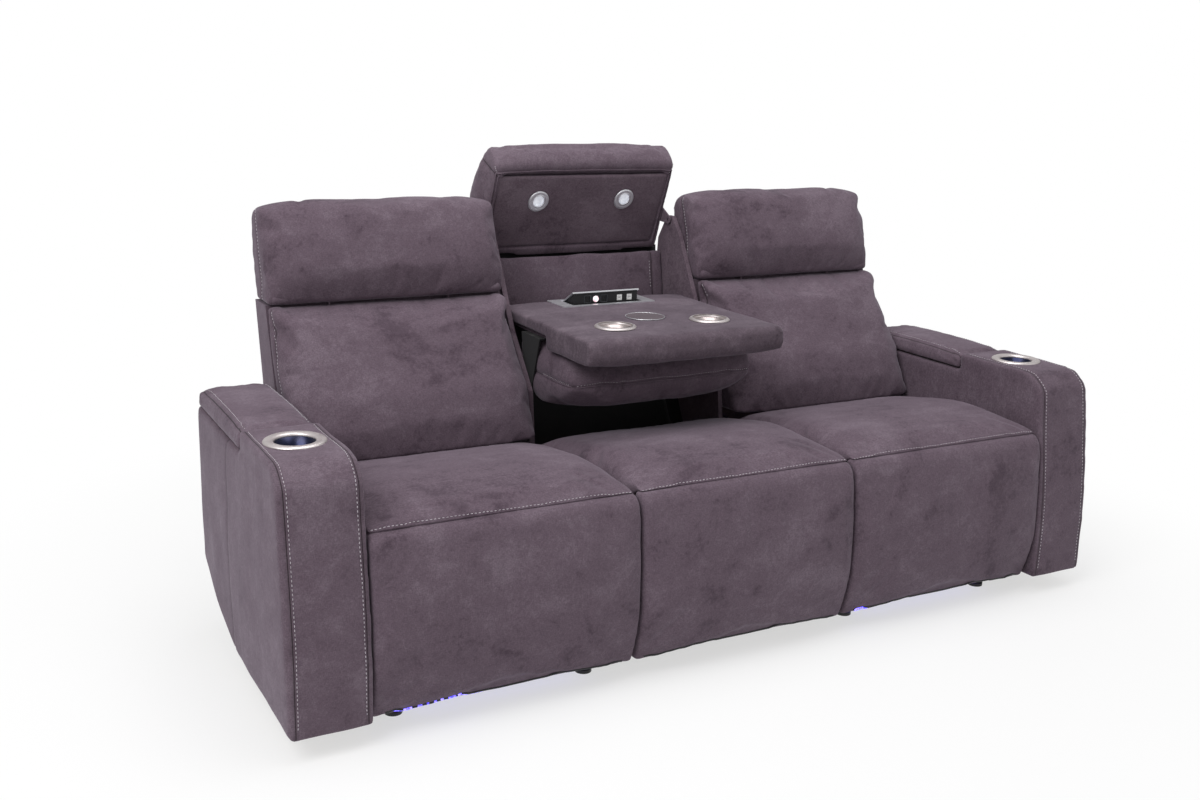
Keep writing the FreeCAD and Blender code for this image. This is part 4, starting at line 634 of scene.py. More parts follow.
def fit_to(mesh, low, high):
    """Stretch a mesh so that its box has the given corners. None keeps a side where it is."""
    co = points_of(mesh)
    now_low, now_high = co.min(0), co.max(0)
    for k in range(3):
        to_low = now_low[k] if low[k] is None else low[k]
        to_high = now_high[k] if high[k] is None else high[k]
        co[:, k] = to_low + (co[:, k] - now_low[k]) * (to_high - to_low) / (now_high[k] - now_low[k])
    set_points(mesh, co)


def divided(mesh):
    """Split each face in four and round the result, once."""
    piece = show("divided", mesh, SUEDE)
    change = piece.modifiers.new("divide", "SUBSURF")
    change.levels = 1
    change.render_levels = 1
    graph = bpy.context.evaluated_depsgraph_get()
    finer = bpy.data.meshes.new_from_object(piece.evaluated_get(graph))
    bpy.data.objects.remove(piece)
    finer.name = mesh.name
    return finer


def mirrored(mesh, name):
    """The same cover for the other end of the sofa."""
    bm = bmesh.new()
    bm.from_mesh(mesh)
    bmesh.ops.scale(bm, vec=(-1, 1, 1), verts=bm.verts)
    bmesh.ops.reverse_faces(bm, faces=bm.faces)
    return to_mesh(name, bm)

# %% [markdown]
# The two end seats are alike, so the covers of the left one are made and simulated, and the
# right one gets their mirror images. The middle seat is a little narrower and has its own.

# %% Rebuild the covers from the solids
END_SEAT = -0.624
END_HALF = 0.316
MIDDLE_HALF = 0.302
ARM = -1.0315
ARM_HALF = 0.0885
HINGE = (-0.478, 0.412)
SIDES = (("left", -1), ("right", 1))


def end_panel_copy():
    """The front panel of an end seat, without the slots for its hinge ears."""
    bm = merged_copy("middle_front_panel")
    bmesh.ops.scale(bm, vec=(END_HALF / MIDDLE_HALF, 1, 1), verts=bm.verts)
    bmesh.ops.translate(bm, vec=(END_SEAT, 0, 0), verts=bm.verts)
    return bm


covers = {}
for name, node, voxel, smooth in (
    ("left_seat_cover", "left_seat_cushion", 0.010, 8),
    ("middle_seat_cover", "middle_seat_cushion", 0.010, 8),
    ("left_panel_cover", None, 0.008, 3),
    ("middle_panel_cover", "middle_front_panel", 0.008, 3),
    ("left_lumbar_cover", "left_lumbar_cushion", 0.010, 7),
    ("left_headrest_cover", "left_headrest", 0.010, 7),
    ("left_lid_cover", "left_lid_pad", 0.005, 5),
    ("console_cushion_cover", "console_cushion", 0.008, 6),
    ("centre_headrest_cover", "centre_headrest", 0.007, 4),
    ("tray_top_cover", "tray_cover", 0.005, 4),
):
    covers[name] = remeshed(name, merged_copy(node) if node else end_panel_copy(), voxel, smooth)
print("covers:", {name: len(mesh.polygons) for name, mesh in covers.items()})

# %% [markdown]
# What holds each cover: its underside and back are stapled to the boards, and the rolled
# nose of a seat lies on the roll of the panel below it. Everything else may swell.

# %% Hold and inflate
def behind_plane(co, low, high, depth):
    """1 near the plane through two (y, z) points, fading to 0 at a depth in front of it."""
    along = np.array([high[0] - low[0], high[1] - low[1]])
    along /= np.linalg.norm(along)
    front = -((co[:, 1] - low[0]) * along[1] - (co[:, 2] - low[1]) * along[0])
    return 1.0 - step_up(np.abs(front), depth * 0.5, depth)


def from_hinge(co):
    return np.hypot(co[:, 1] - HINGE[0], co[:, 2] - HINGE[1])


def hold_seat(co):
    roll = from_hinge(co)
    under = 1.0 - step_up(co[:, 2], 0.392, 0.402)
    return np.maximum.reduce([under, step_up(co[:, 1], 0.025, 0.05), 1.0 - step_up(roll, 0.049, 0.056)])


def hold_panel(co):
    roll = from_hinge(co)
    top = step_up(co[:, 2], 0.405, 0.43) * 0.8
    middle = (co[:, 0].min() + co[:, 0].max()) / 2
    reach = co[:, 0].max() - middle
    flank = step_up(np.abs(co[:, 0] - middle), reach - 0.018, reach - 0.004)
    rear = step_up(co[:, 1], -0.476, -0.467)
    return np.maximum.reduce([flank, rear, top, 1.0 - step_up(roll, 0.02, 0.03)])


def hold_lumbar(co):
    back = behind_plane(co, (0.152, 0.446), (0.268, 0.787), 0.012)
    return np.maximum(back, 0.8 * (1.0 - step_up(co[:, 2], 0.449, 0.458)))


def hold_headrest(co):
    back = behind_plane(co, (0.369, 0.798), (0.414, 0.985), 0.01)
    return np.maximum(1.0 - step_up(co[:, 2], 0.8, 0.812), 0.6 * back)


def hold_lid(co):
    return 1.0 - step_up(co[:, 2], 0.574, 0.58)


def hold_console_cushion(co):
    return step_up(co[:, 2], 0.655, 0.672)


def hold_centre_headrest(co):
    return behind_plane(co, (0.462, 0.86), (0.358, 1.11), 0.03)


inflate([(covers[name], *rest) for name, *rest in (
    ("left_seat_cover", hold_seat, 0.012, 3.4, 0.012),
    ("middle_seat_cover", hold_seat, 0.012, 3.4, 0.012),
    ("left_panel_cover", hold_panel, 0.009, 2.5, 0.008),
    ("middle_panel_cover", hold_panel, 0.009, 2.5, 0.008),
    ("left_lumbar_cover", hold_lumbar, 0.014, 3.6, 0.015),
    ("left_headrest_cover", hold_headrest, 0.012, 3.6, 0.015),
    ("left_lid_cover", hold_lid, 0.003, 3.0, 0.004),
    ("console_cushion_cover", hold_console_cushion, 0.008, 3.0, 0.02),
    ("centre_headrest_cover", hold_centre_headrest, 0.008, 3.0, 0.01),
)])

# %% [markdown]
# Neighbouring cushions touch along flat sides with only a finger's breadth between them, so
# the swollen covers are trimmed back to the room that each has. The roll of a front panel
# also keeps its radius, or it would rub on the seat when the footrest swings out.

# %% Trim the covers to their room
def trim_sides(mesh, centre, half):
    co = points_of(mesh)
    co[:, 0] = np.clip(co[:, 0], centre - half, centre + half)
    set_points(mesh, co)


def set_radius(mesh, radius, chosen):
    """Bring the chosen points to one radius about the footrest's hinge."""
    co = points_of(mesh)
    spoke = co[:, 1:] - np.array(HINGE)
    length = np.linalg.norm(spoke, axis=1)
    near = chosen(co, length)
    co[near, 1:] = np.array(HINGE) + spoke[near] * (radius / length[near])[:, None]
    set_points(mesh, co)


def outside_roll(co, length):
    return (co[:, 2] > HINGE[1]) & (length > ROLL_RADIUS)


def inside_nose(co, length):
    return (length < NOSE_RADIUS) & (length > 0.02)


SIDE_ROOM = 0.001
ROLL_RADIUS, NOSE_RADIUS = 0.0455, 0.0465
for name in ("left_seat_cover", "left_panel_cover", "left_lumbar_cover", "left_headrest_cover"):
    trim_sides(covers[name], END_SEAT, END_HALF + SIDE_ROOM)
for name in ("middle_seat_cover", "middle_panel_cover"):
    trim_sides(covers[name], 0.0, MIDDLE_HALF + SIDE_ROOM)
for name in ("left_panel_cover", "middle_panel_cover"):
    set_radius(covers[name], ROLL_RADIUS, outside_roll)
for name in ("left_seat_cover", "middle_seat_cover"):
    set_radius(covers[name], NOSE_RADIUS, inside_nose)
print("covers trimmed")

# %% [markdown]
# Waves give each cover the slight unevenness of cloth over foam, larger on the seat tops
# where people sit. Then the seams are sewn: the backs have one down each flank, about
# mid-depth, where the front half of the cover meets the rear half.

# %% Waves and seams of seats and backs
def flank_seam(centre, line):
    """A seam down both flanks of a piece, along a chain of (y, z) points."""
    chain = np.array(line)
    lean = np.hypot(1.0, np.gradient(chain[:, 0], chain[:, 1]).mean())

    def rule(co, normals):
        distance = (co[:, 1] - np.interp(co[:, 2], chain[:, 1], chain[:, 0])) / lean
        distance[np.abs(normals[:, 0]) < 0.45] = 1.0
        return distance
    return rule


LUMBAR_LINE = [(0.104, 0.446), (0.118, 0.5), (0.142, 0.58), (0.175, 0.655), (0.212, 0.735), (0.24, 0.79)]
HEADREST_LINE = [(0.312, 0.797), (0.312, 0.85), (0.322, 0.92), (0.342, 0.98), (0.362, 1.03)]


def upper_face(low, high):
    return lambda co: step_up(co[:, 2], low, high)


def front_face(low, high):
    return lambda co: 1.0 - step_up(co[:, 1], low, high)


def crease(co, normals):
    """The deep shaded line where headrest and lower back meet, closed near its ends."""
    distance = np.abs(co[:, 2] - 0.793) + 0.0012
    distance[np.abs(co[:, 0] - END_SEAT) > END_HALF - 0.035] = 1.0
    return distance


def fit_across(name, centre, half, extra, y, z):
    """Stretch a cover to its width about a centre, and to its reach in y and z."""
    fit_to(covers[name], (centre - half - extra, y[0], z[0]), (centre + half + extra, y[1], z[1]))


def widen_rear(mesh):
    """The raised headrest is a little wider at its back than at its front."""
    co = points_of(mesh)
    co[:, 0] *= 1.0 + 0.025 * step_up(co[:, 1], 0.38, 0.47)
    set_points(mesh, co)


SEAT_Y, SEAT_Z = (-0.4885, 0.058), (0.386, 0.5)
PANEL_Y, PANEL_Z = (-0.5445, -0.463), (0.0425, 0.4575)
for size in (
    ("left_lumbar_cover", END_SEAT, END_HALF, 0.0, (0.0015, None), (0.444, 0.7935)),
    ("left_headrest_cover", END_SEAT, END_HALF, 0.0, (0.2195, 0.4165), (0.7925, 1.0455)),
    ("left_seat_cover", END_SEAT, END_HALF, 0.0005, SEAT_Y, SEAT_Z),
    ("middle_seat_cover", 0.0, MIDDLE_HALF, 0.0005, SEAT_Y, SEAT_Z),
    ("left_panel_cover", END_SEAT, END_HALF, 0.0005, PANEL_Y, PANEL_Z),
    ("middle_panel_cover", 0.0, MIDDLE_HALF, 0.0005, PANEL_Y, PANEL_Z),
    ("console_cushion_cover", 0.0, 0.281, 0.0, (-0.113, 0.225), (0.512, 0.6905)),
    ("centre_headrest_cover", 0.0, 0.293, 0.0, (None, 0.5415), (0.858, 1.174)),
    ("left_lid_cover", ARM, 0.0895, 0.0, (-0.1803, 0.232), (0.570, 0.6195)),
):
    fit_across(*size)
widen_rear(covers["centre_headrest_cover"])
for name, *wave in (
    ("left_seat_cover", 0.0045, 0.16, 1, upper_face(0.43, 0.47)),
    ("middle_seat_cover", 0.0045, 0.16, 2, upper_face(0.43, 0.47)),
    ("left_panel_cover", 0.0026, 0.14, 3, front_face(-0.53, -0.505)),
    ("middle_panel_cover", 0.0026, 0.14, 4, front_face(-0.53, -0.505)),
    ("left_lumbar_cover", 0.005, 0.14, 5),
    ("left_headrest_cover", 0.005, 0.12, 6, upper_face(0.8, 0.84)),
    ("console_cushion_cover", 0.005, 0.09, 7),
    ("centre_headrest_cover", 0.003, 0.12, 8),
):
    soft_waves(covers[name], *wave)
for name, line in (("left_lumbar_cover", LUMBAR_LINE), ("left_headrest_cover", HEADREST_LINE)):
    covers[name] = divided(covers[name])
    trim_sides(covers[name], END_SEAT, END_HALF + 0.0012)
    sew_seams(covers[name], flank_seam(END_SEAT, line), crease, depth=0.0026, width=0.006)
for name in ("left_seat_cover", "middle_seat_cover", "left_panel_cover", "middle_panel_cover"):
    covers[name] = divided(covers[name])
    sew_seams(covers[name])
print("seams sewn")

# %% [markdown]
# The arms are boxes padded on all sides. Their cover is the solid's own shell, remeshed, and
# its outer side is pushed out like a shallow pillow, as foam under tight cloth stands. The
# front panel runs from the floor over the top to the lid, with a seam along both its edges.

# %% Arm covers
def arm_seam(co, normals):
    distance = np.abs(co[:, 0] - ARM) - (ARM_HALF - 0.012)
    sideways = (normals[:, 1] > -0.35) & (normals[:, 2] < 0.35)
    distance[(co[:, 1] > -0.186) | (normals[:, 1] > 0.3) | sideways] = 1.0
    return distance


def outer_side_seam(co, normals):
    """A plain upright seam in the outer side, behind the lid's front."""
    distance = co[:, 1] + 0.075
    distance[(co[:, 0] > ARM - ARM_HALF + 0.012) | (np.abs(normals[:, 1]) > 0.8)] = 1.0
    return distance


def arm_cover():
    mesh = remeshed("left_arm_skin", merged_copy("left_arm_cover"), 0.0068, 5)
    co = points_of(mesh)
    along = np.clip((co[:, 1] + 0.531) / 0.773, 0, 1)
    up = np.clip((co[:, 2] - 0.05) / 0.52, 0, 1)
    pillow = (4 * along * (1 - along)) ** 0.5 * (4 * up * (1 - up)) ** 0.5
    outside = step_up(-(co[:, 0] - ARM), ARM_HALF - 0.008, ARM_HALF - 0.002)
    front = 1.0 - step_up(co[:, 1], -0.53, -0.5)
    across = np.clip(1 - ((co[:, 0] - ARM) / ARM_HALF) ** 2, 0, 1)
    co[:, 0] -= outside * pillow * 0.009
    co[:, 1] -= front * across * 0.003
    set_points(mesh, co)
    soft_waves(mesh, 0.0022, 0.1, 11)
    co = points_of(mesh)
    co[:, 0] = np.minimum(co[:, 0], ARM + ARM_HALF + 0.0005)
    set_points(mesh, co)
    return sew_seams(mesh, arm_seam, outer_side_seam, depth=0.0018, width=0.005)


covers["left_arm_skin"] = arm_cover()


def lid_seam(co, normals):
    distance = np.abs(co[:, 0] - ARM) - (ARM_HALF - 0.010)
    distance[co[:, 2] < 0.596] = 1.0
    return distance


covers["left_lid_cover"] = sew_seams(covers["left_lid_cover"], lid_seam, depth=0.0018, width=0.005)
print("arm skin:", len(covers["left_arm_skin"].polygons), "faces")

# %% [markdown]
# Behind each end seat the wooden back is wrapped in the same suede. The wrap is made with
# bmesh: one side face from a few corners, extruded across the seat and remeshed.

# %% Fabric wraps of the end backs
def back_wrap():
    corners = [(0.155, 0.4465), (0.29, 0.4465), (0.318, 0.52), (0.3745, 0.79), (0.36, 0.7945),
               (0.272, 0.7925)]
    bm = bmesh.new()
    points = [bm.verts.new((END_SEAT - END_HALF, y, z)) for y, z in corners]
    face = bm.faces.new(points)
    grown = bmesh.ops.extrude_face_region(bm, geom=[face])
    moved = [v for v in grown["geom"] if isinstance(v, bmesh.types.BMVert)]
    bmesh.ops.translate(bm, vec=(2 * END_HALF, 0, 0), verts=moved)
    bmesh.ops.recalc_face_normals(bm, faces=bm.faces)
    mesh = remeshed("left_back_wrap", bm, 0.007, 2)
    co = points_of(mesh)
    across = np.clip(1 - ((co[:, 0] - END_SEAT) / END_HALF) ** 4, 0, 1)
    rear = step_up(normals_of(mesh)[:, 1], 0.5, 0.9)
    co[:, 1] += rear * across * 0.004
    set_points(mesh, co)
    soft_waves(mesh, 0.002, 0.12, 13)
    fit_to(mesh, (END_SEAT - END_HALF - 0.0006, 0.153, 0.4462),
           (END_SEAT + END_HALF + 0.0006, None, 0.7945))

    def welt_seam(co, normals):
        distance = np.abs(co[:, 0] - END_SEAT) - (END_HALF - 0.014)
        distance[normals[:, 1] < 0.2] = 1.0
        return distance

    return sew_seams(mesh, welt_seam, depth=0.002, width=0.006)


covers["left_back_wrap"] = back_wrap()

# %% [markdown]
# The middle part has its own soft pieces: the folding table's top with its crowned front,
# the cushion under it with a welt along its front, and the raised headrest with a border
# that meets in mitred corners round the panel with the lights.

# %% Table, console cushion and centre headrest covers
def table_top():
    """The table's cover, with the recess for the charging pad filled level."""
    mesh = covers["tray_top_cover"]
    fit_to(mesh, (-0.286, -0.2165, 0.6734), (0.286, 0.332, 0.7472))
    co = points_of(mesh)
    near_pad = (np.hypot(co[:, 0], co[:, 1] - 0.02) < 0.06) & (co[:, 2] > 0.735)
    co[near_pad, 2] = 0.7468
    set_points(mesh, co)
    soft_waves(mesh, 0.0016, 0.07, 15)

    def hem(co, normals):
        distance = co[:, 2] - 0.682
        distance[(normals[:, 2] < -0.5) | (co[:, 1] > 0.02)] = 1.0
        return distance

    return sew_seams(mesh, hem, depth=0.0015, width=0.005)


def console_cushion():
    mesh = divided(covers["console_cushion_cover"])

    def welt(co, normals):
        distance = co[:, 2] - 0.605
        distance[normals[:, 1] > 0.3] = 1.0
        return distance

    return sew_seams(mesh, welt, depth=0.004, width=0.009)


VISOR_LOW = np.array([0.462, 0.86])
VISOR_LIP = np.array([0.358, 1.11])
VISOR_ALONG = (VISOR_LIP - VISOR_LOW) / np.linalg.norm(VISOR_LIP - VISOR_LOW)
VISOR_LENGTH = np.linalg.norm(VISOR_LIP - VISOR_LOW)


def on_visor(co):
    """Way up the headrest's lit face from its low edge, and height in front of it."""
    spoke = co[:, 1:] - VISOR_LOW
    up = spoke @ VISOR_ALONG
    out = -(spoke[:, 0] * VISOR_ALONG[1] - spoke[:, 1] * VISOR_ALONG[0])
    return up, out


def centre_headrest():
    mesh = covers["centre_headrest_cover"]

    def mitres(co, normals):
        """From each upper corner of the border out to the corner of the headrest."""
        up, out = on_visor(co)
        across = np.abs(co[:, 0]) - 0.272
        distance = (across - (up - VISOR_LENGTH + 0.026)) * 0.7
        distance[(up < VISOR_LENGTH - 0.028) | (across < -0.002) | (normals[:, 1] > 0.2)] = 1.0
        return distance

    return divided(sew_seams(mesh, mitres, depth=0.002, width=0.006))


covers["tray_top_cover"] = table_top()
covers["console_cushion_cover"] = console_cushion()
covers["centre_headrest_cover"] = centre_headrest()


def soft_block(name, node, voxel, smooth, bulge, seed):
    """A thin upholstered panel made from a solid, slightly crowned towards the front."""
    mesh = remeshed(name, merged_copy(node), voxel, smooth)
    co = points_of(mesh)
    low, high = co.min(0), co.max(0)
    across = np.clip(1 - ((2 * co[:, 0] - low[0] - high[0]) / (high[0] - low[0])) ** 4, 0, 1)
    up = np.clip(1 - ((2 * co[:, 2] - low[2] - high[2]) / (high[2] - low[2])) ** 4, 0, 1)
    front = step_up(-normals_of(mesh)[:, 1], 0.5, 0.9)
    co[:, 1] -= bulge * across * up * front
    set_points(mesh, co)
    return soft_waves(mesh, 0.0015, 0.06, seed)


def recess_seam(co, normals):
    distance = co[:, 0] - 0.252
    distance[normals[:, 1] > 0.3] = 1.0
    return distance


def widen_ends(mesh):
    """Push the ends of the light panel out to the headrest's border."""
    co = points_of(mesh)
    co[:, 0] += 0.0105 * np.sign(co[:, 0]) * step_up(np.abs(co[:, 0]), 0.19, 0.24)
    set_points(mesh, co)


recess = soft_block("recess_cover", "centre_recess_panel", 0.008, 2, 0.004, 21)
covers["recess_cover"] = sew_seams(divided(recess), recess_seam, depth=0.002, width=0.005)
covers["light_panel_cover"] = soft_block("light_panel_cover", "centre_light_panel", 0.0045, 2, 0.002, 22)
widen_ends(covers["light_panel_cover"])
fit_to(covers["recess_cover"], (None, None, 0.694), (None, None, 0.858))
print("middle covers:", len(covers))

# %% [markdown]
# Now every cover becomes a piece of the scene. It rides on the same body as the solid that
# it stands for, and hides that solid.

# %% Put the covers in place
def dress(name, mesh, body, replaced=(), material=SUEDE):
    mesh.name = name
    piece = add_piece(name, mesh, material, body)
    if replaced:
        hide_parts(*replaced)
    return piece


PAIRS = [
    ("seat_cover", "carriage", "seat_cushion", 0.7),
    ("panel_cover", "footrest", "footrest_pad", 0.6),
    ("lumbar_cover", "back", "lumbar_cushion", 0.65),
    ("headrest_cover", "headrest", "headrest", 0.65),
    ("lid_cover", "lid", "lid_pad", 0.8),
    ("back_wrap", "back", None, 0.9),
    ("arm_skin", None, "arm_cover", 0.9),
]
pieces = {}
for part, body, node, fill in PAIRS:
    left_mesh = covers[f"left_{part}"]
    right_mesh = mirrored(left_mesh, f"right_{part}")
    for side, mesh in (("left", left_mesh), ("right", right_mesh)):
        rider = f"{side}_{body}" if body else "sofa_base"
        replaced = [f"{side}_{node}"] if node else []
        pieces[f"{side}_{part}"] = dress(f"{side}_{part}", mesh, rider, replaced)
for part, body, node, fill in (
    ("middle_seat_cover", "sofa_base", "middle_seat_cushion", 0.7),
    ("middle_panel_cover", "sofa_base", "middle_front_panel", 0.6),
    ("console_cushion_cover", "console", "console_cushion", 0.6),
    ("centre_headrest_cover", "centre_headrest", "centre_headrest", 0.8),
    ("recess_cover", "sofa_base", "centre_recess_panel", 0.8),
):
    pieces[part] = dress(part, covers[part], body, [node])
# The table's top gets the darker copy of the suede.
pieces["tray_top_cover"] = dress(
    "tray_top_cover", covers["tray_top_cover"], "console", ["tray_cover"], SUEDE_TABLE_DARKER
)
# The panel with the lights gets the suede painted lighter against the shade it sits in.
pieces["light_panel_cover"] = dress(
    "light_panel_cover", covers["light_panel_cover"], "centre_headrest", ["centre_light_panel"],
    SUEDE_LIFTED_IN_SHADE
)
print("covers in place:", len(pieces))

# %% [markdown]
# When a headrest tips forward, a gap opens between it and the lower back. On the sofa cloth
# spans that fold. Here a round roll lies in it near the pivot and rides on the back. It
# narrows the gap, but with the back leaned and the headrest tipped a thin line still shows.

# %% Rolls in the folds below the headrests
ROLL_Y, ROLL_Z = 0.256, 0.81
ROLL_THICK = 0.0155


def fold_roll(side, sign):
    bm = bmesh.new()
    middle = Matrix.Translation((sign * abs(END_SEAT), ROLL_Y, ROLL_Z))
    bmesh.ops.create_cone(bm, segments=48, radius1=ROLL_THICK, radius2=ROLL_THICK,
                          depth=2 * END_HALF - 0.02, cap_ends=True,
                          matrix=middle @ Matrix.Rotation(math.pi / 2, 4, "Y"))
    caps = [f for f in bm.faces if len(f.verts) > 4]
    rims = list({e for f in caps for e in f.edges})
    bmesh.ops.bevel(bm, geom=rims, offset=0.006, offset_type="OFFSET", segments=3, profile=0.5,
                    affect="EDGES", material=-1)
    mesh = soft_waves(remeshed(f"{side}_fold_roll", bm, 0.006, 1), 0.0008, 0.05, 31)
    return dress(f"{side}_fold_roll", sew_seams(mesh), f"{side}_back", [])


for side, sign in SIDES:
    pieces[f"{side}_fold_roll"] = fold_roll(side, sign)
print("fold rolls laid")

# %% [markdown]
# Contrast stitching is what the eye finds first on this sofa. Each stitch is its own tiny
# pill of thread. A row is laid by walking along a guide line at one pitch and dropping every
# stitch on the nearest point of the cover, turned along the line.

# %% Stitch and piping helpers
def walk(points, pitch):
    """Points at an even pitch along a chain of guide points."""
    chain = np.array(points, float)
    lengths = np.r_[0.0, np.cumsum(np.linalg.norm(np.diff(chain, axis=0), axis=1))]
    at = np.arange(0.0, lengths[-1], pitch)
    return np.stack([np.interp(at, lengths, chain[:, k]) for k in range(3)], axis=1)


def surface_of(piece):
    bm = bmesh.new()
    bm.from_mesh(piece.data)
    tree = BVHTree.FromBMesh(bm)
    bm.free()
    return tree


def laid_on(surface, points, lift=0.0):
    """The guide points dropped on a surface, with its normals there."""
    laid = []
    for point in points:
        spot, normal, _, _ = surface.find_nearest(Vector(point))
        laid.append((spot + normal * lift, normal))
    return laid


def stitch_rows(name, host, rows, body, pitch=0.0092, length=0.0062, thick=0.0019):
    surface = surface_of(host)
    bm = bmesh.new()
    for row in rows:
        laid = laid_on(surface, walk(row, pitch))
        for (a, normal), (b, _) in zip(laid, laid[1:]):
            along = b - a
            if along.length < pitch * 0.4 or along.length > pitch * 2.5:
                continue
            along.normalize()
            side = normal.cross(along).normalized()
            up = along.cross(side)
            spot = (a + b) / 2 + up * thick * 0.3
            turn = Matrix((along, side, up)).transposed().to_4x4()
            sizes = Matrix.Diagonal((length / 2, thick / 2, thick / 2, 1))
            bmesh.ops.create_icosphere(bm, subdivisions=1, radius=1.0,
                                       matrix=Matrix.Translation(spot) @ turn @ sizes)
    add_piece(name, to_mesh(name, bm), THREAD, body)


def piping(name, guide, radius, body, host, material=SUEDE_PLAIN, lift=0.0, step=0.006):
    """A thin round cord along a guide line, laid on its host."""
    points = [spot for spot, _ in laid_on(surface_of(host), walk(guide, step), lift)]
    curve = bpy.data.curves.new(name, "CURVE")
    curve.dimensions = "3D"
    curve.bevel_depth = radius
    curve.bevel_resolution = 2
    curve.use_fill_caps = True
    spline = curve.splines.new("POLY")
    spline.points.add(len(points) - 1)
    for target, point in zip(spline.points, points):
        target.co = (*point, 1.0)
    holder = bpy.data.objects.new(name, curve)
    scene.collection.objects.link(holder)
    mesh = bpy.data.meshes.new_from_object(holder)
    bpy.data.objects.remove(holder)
    return add_piece(name, mesh, material, body)

# %% [markdown]
# A row of stitches follows the nose of each seat, both flanks of the backs, and both edges
# of each arm and lid. The guide lines run just beside the seams that were sewn above.

# %% Stitching of the seats, backs and arms
def across(centre, reach, y, z):
    return [(centre + share * reach, y, z) for share in np.linspace(-1, 1, 41)]


NOSE_Y, NOSE_Z = -0.4885, 0.4665
for name, centre, half, body in (
    ("left_seat_cover", END_SEAT, END_HALF, "left_carriage"),
    ("right_seat_cover", -END_SEAT, END_HALF, "right_carriage"),
    ("middle_seat_cover", 0.0, MIDDLE_HALF, "sofa_base"),
):
    rows = [across(centre, half - 0.006, NOSE_Y, NOSE_Z)]
    stitch_rows(name.replace("cover", "stitches"), pieces[name], rows, body)

ARM_LINE = [(-0.5, 0.05), (-0.53, 0.08), (-0.531, 0.25), (-0.519, 0.36), (-0.495, 0.57),
            (-0.446, 0.612), (-0.19, 0.612)]
for side, sign in SIDES:
    centre = sign * abs(END_SEAT)
    edges = [centre - END_HALF - 0.004, centre + END_HALF + 0.004]
    for part, line, body in (("lumbar", LUMBAR_LINE, "back"), ("headrest", HEADREST_LINE, "headrest")):
        rows = [[(x, y - 0.006, z) for y, z in line] for x in edges]
        stitch_rows(f"{side}_{part}_stitches", pieces[f"{side}_{part}_cover"], rows, f"{side}_{body}",
                    thick=0.0015)
    arm = sign * abs(ARM)
    edges = [arm - ARM_HALF + 0.0175, arm + ARM_HALF - 0.0175]
    stitch_rows(f"{side}_arm_stitches", pieces[f"{side}_arm_skin"],
                [[(x, y, z) for y, z in ARM_LINE] for x in edges], "sofa_base")
    edges = [arm - ARM_HALF + 0.0155, arm + ARM_HALF - 0.0155]
    stitch_rows(f"{side}_lid_stitches", pieces[f"{side}_lid_cover"],
                [[(x, y, 0.622) for y in (-0.165, 0.22)] for x in edges], f"{side}_lid")
print("stitch rows laid")

# %% [markdown]
# Piping and single seams finish the middle. Two cords of piping frame the panel with the
# lights, and a welt in the same suede, with a row of stitches above it, runs round the
# front of the cushion under the table.

# %% Piping and seams of the middle pieces
def on_face(x, up, out):
    """A point of the raised headrest's lit face: across, up from its low edge, and in front."""
    away = np.array([-VISOR_ALONG[1], VISOR_ALONG[0]])
    y, z = VISOR_LOW + VISOR_ALONG * up + away * out
    return (x, y, z)


def frame_line(margin, low, high, out):
    corners = [(-margin, low), (-margin, high), (margin, high), (margin, low)]
    line = []
    for (x0, u0), (x1, u1) in zip(corners, corners[1:]):
        for share in np.linspace(0, 1, 25)[:-1]:
            line.append(on_face(x0 + (x1 - x0) * share, u0 + (u1 - u0) * share, out))
    line.append(on_face(*corners[-1], out))
    return line


for name, margin, low, below_lip, radius in (
    ("headrest_inner_piping", 0.2725, 0.018, 0.022, 0.0024),
    ("headrest_outer_piping", 0.2815, 0.016, 0.013, 0.0022),
):
    piping(name, frame_line(margin, low, VISOR_LENGTH - below_lip, 0.0), radius, "centre_headrest",
           pieces["centre_headrest_cover"], lift=0.0008)
mitre_rows = [
    [on_face(s * (0.272 + 0.018 * t), VISOR_LENGTH - 0.022 + 0.03 * t, 0.004 - 0.012 * t)
     for t in np.linspace(0, 1, 8)]
    for s in (-1, 1)
]
stitch_rows("headrest_corner_stitches", pieces["centre_headrest_cover"], mitre_rows,
            "centre_headrest", 0.006, 0.004)

welt_line = [(-0.262, 0.06, 0.605), (-0.264, -0.05, 0.605), (-0.25, -0.088, 0.605), (-0.2, -0.104, 0.605),
             (0.2, -0.104, 0.605), (0.25, -0.088, 0.605), (0.264, -0.05, 0.605), (0.262, 0.06, 0.605)]
piping("console_cushion_welt", welt_line, 0.0019, "console", pieces["console_cushion_cover"], lift=0.0004)
stitch_rows("console_cushion_stitches", pieces["console_cushion_cover"],
            [[(x, y, z + 0.0075) for x, y, z in welt_line]], "console", 0.0075, 0.005, 0.0012)
stitch_rows("recess_stitches", pieces["recess_cover"],
            [[(0.246, 0.40, z) for z in np.linspace(0.752, 0.84, 6)]], "sofa_base")
print("piping laid")

# %% [markdown]
# The cup holders are spun from thin steel: a turning profile, swept round a full circle.
# The ring is satin and catches the light. The wall below it is a piece of its own: anodised
# dark blue in the arms, bright steel in the table. Three small touch marks sit on the front
# of each arm's ring.

# %% Cup holders
WELD = 0.000005


def full_turn(bm, geom, steps, weld=WELD):
    """Sweep edges a full turn about the upright axis and close the surface."""
    bmesh.ops.spin(bm, geom=geom, cent=(0, 0, 0), axis=(0, 0, 1), angle=math.tau, steps=steps,
                   use_merge=True, use_duplicate=False)
    bmesh.ops.remove_doubles(bm, verts=bm.verts, dist=weld)
    bmesh.ops.recalc_face_normals(bm, faces=bm.faces)


